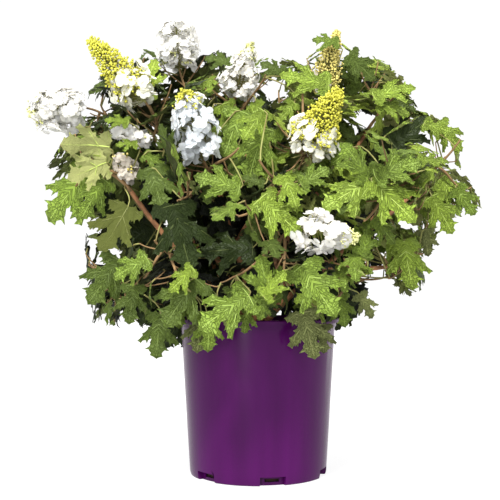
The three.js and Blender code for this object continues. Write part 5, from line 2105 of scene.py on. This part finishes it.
def lump_surface(mesh):
    """Lumps on the top of the soil, but for its edge and the part under the stem base."""
    for point in mesh.vertices:
        radius = math.hypot(point.co.x, point.co.y) / MM
        if point.co.z > (soil_level(0) + 0.01) * MM and radius > CROWN_FLARE + 4:
            lumps = (noise.noise(point.co * fineness) * height for fineness, height in SOIL_LUMPS)
            point.co.z += sum(lumps) * MM
    mesh.update()


def chip_templates():
    meshes = []
    for number in range(CHIP_SHAPES):
        random = random_source(seed_of(number, CHIP_SHAPE_DRAW))
        corners = []
        for x, y, z in itertools.product((-1, 1), repeat=3):
            along = x * mix(0.7, 1.1, random())
            across = y * mix(0.35, 0.6, random())
            corners.append((along, across, z * mix(0.16, 0.3, random())))
        faces = [(0, 1, 3, 2), (4, 6, 7, 5), (0, 4, 5, 1), (2, 3, 7, 6), (0, 2, 6, 4), (1, 5, 7, 3)]
        meshes.append(close_template(f"chip_{number}", corners, faces))
    return shelf_of("chip shapes", meshes)


def chip_spots(wall):
    random = random_source(seed_of(CHIP_DRAW))
    spots = []
    for _ in range(CHIPS):
        radius = mix(CROWN_FLARE + 6, wall - 8, math.sqrt(random()))
        turn = 2 * math.pi * random()
        level = soil_level((wall - radius) / wall)
        tilt = (UP + random_vector(random) * 0.5).normalized()
        spots.append({
            "at": Vector((radius * math.cos(turn), radius * math.sin(turn), level + 0.8)),
            "turn": turn_to(square_to(random_vector(random), tilt), tilt),
            "size": mix(*CHIP_SIZES, random() ** 2), "shape": int(random() * CHIP_SHAPES),
            "tone": int(random() * 2),
        })
    return spots


def dress_soil(earth, chip):
    wall = body_radius(soil_level(0)) - (POT_WALL + CLEARANCE + SOIL_SIDE_PLAY)
    soil = linked("soil_mix", soil_mesh(wall))
    lump_surface(soil.data)
    soil.data.shade_smooth()
    soil.data.materials.append(earth)
    chips = linked("soil_chips", scatter_mesh("chip points", chip_spots(wall)))
    scatter_tree("Chips", chip_templates(), {(0, 0): chip, (1, 0): earth}).dress(chips, Stray=0.0)
    keep_as(soil, "soil", "soil")
    keep_as(chips, "soil", "soil")


# Studio
def aimed_lamp(light, way):
    lamp = linked(light.name, light)
    lamp.rotation_euler = way.to_track_quat("-Z", "Y").to_euler()
    return lamp


def add_key_light():
    light = bpy.data.lights.new("key", "SUN")
    light.energy = KEY_STRENGTH
    light.angle = math.radians(KEY_SPREAD_DEG)
    light.color = KEY_COLOUR
    aimed_lamp(light, KEY_WAY)


def add_strip_light():
    """A tall narrow lamp at the front left, which fills the pot's shade."""
    light = bpy.data.lights.new("strip", "AREA")
    light.shape = "RECTANGLE"
    light.size, light.size_y = STRIP_SIZE
    light.energy = STRIP_POWER
    aimed_lamp(light, STRIP_AIM - STRIP_PLACE).location = STRIP_PLACE


def make_surround():
    """A white backdrop behind the plant, and stronger white light from the front, most from its left."""
    world = bpy.data.worlds.new("studio")
    world.use_nodes = True
    tree = world.node_tree
    surround = next(node for node in tree.nodes if node.type == "BACKGROUND")
    way = add_node(tree, "ShaderNodeTexCoord").outputs["Generated"]
    split = add_node(tree, "ShaderNodeSeparateXYZ", {"Vector": way})
    front = add_node(tree, "ShaderNodeMapRange", {
        "Value": split.outputs["X"], "From Min": -1.0, "To Min": LEFT_LIGHT, "To Max": RIGHT_LIGHT,
    })
    light = add_node(tree, "ShaderNodeMapRange", {
        "Value": split.outputs["Y"], "From Min": -0.2, "From Max": 0.6,
        "To Min": front.outputs["Result"], "To Max": BACKDROP_LIGHT,
    }, interpolation_type="SMOOTHSTEP")
    feed(tree, surround, "Color", (1, 1, 1, 1))
    feed(tree, surround, "Strength", light.outputs["Result"])
    bpy.context.scene.world = world


def make_floor():
    mesh = bpy.data.meshes.new("floor")
    disc = bmesh.new()
    bmesh.ops.create_circle(disc, cap_ends=True, radius=FLOOR_RADIUS, segments=64)
    disc.to_mesh(mesh)
    disc.free()
    floor = linked("floor", mesh)
    glow = {"Emission_Color": (1, 1, 1, 1), "Emission_Strength": FLOOR_GLOW}
    shader = Shader("floor", FLOOR_COLOURS[0], 0.9, **glow)
    shader.mottle(*FLOOR_COLOURS, shader.noise(3.0))
    mesh.materials.append(shader.material)


def make_studio():
    make_surround()
    add_key_light()
    add_strip_light()
    make_floor()
    bpy.context.scene.view_settings.view_transform = "Standard"


def make_camera():
    lens = bpy.data.cameras.new("camera")
    lens.lens = CAMERA_LENS
    lens.sensor_width = CAMERA_SENSOR
    camera = linked("camera", lens)
    camera.location = (-CAMERA_SHIFT * MM, -EYE_DISTANCE * MM, EYE_HEIGHT * MM)
    camera.rotation_euler = (math.radians(90 + CAMERA_TILT_DEG), 0, 0)
    bpy.context.scene.camera = camera


def main():
    bark = bark_material("bark", BARK_COLOURS, 90.0)
    limbs = lay_limbs()
    dress_masses(grow_crown(limbs))
    dress_limbs(limbs, bark)
    dress_stem_base(bark)
    dress_pot(pot_material())
    dress_soil(soil_material("soil", SOIL_COLOURS), soil_material("bark_chip", CHIP_COLOURS))
    make_studio()
    make_camera()
    bpy.context.view_layer.update()


main()
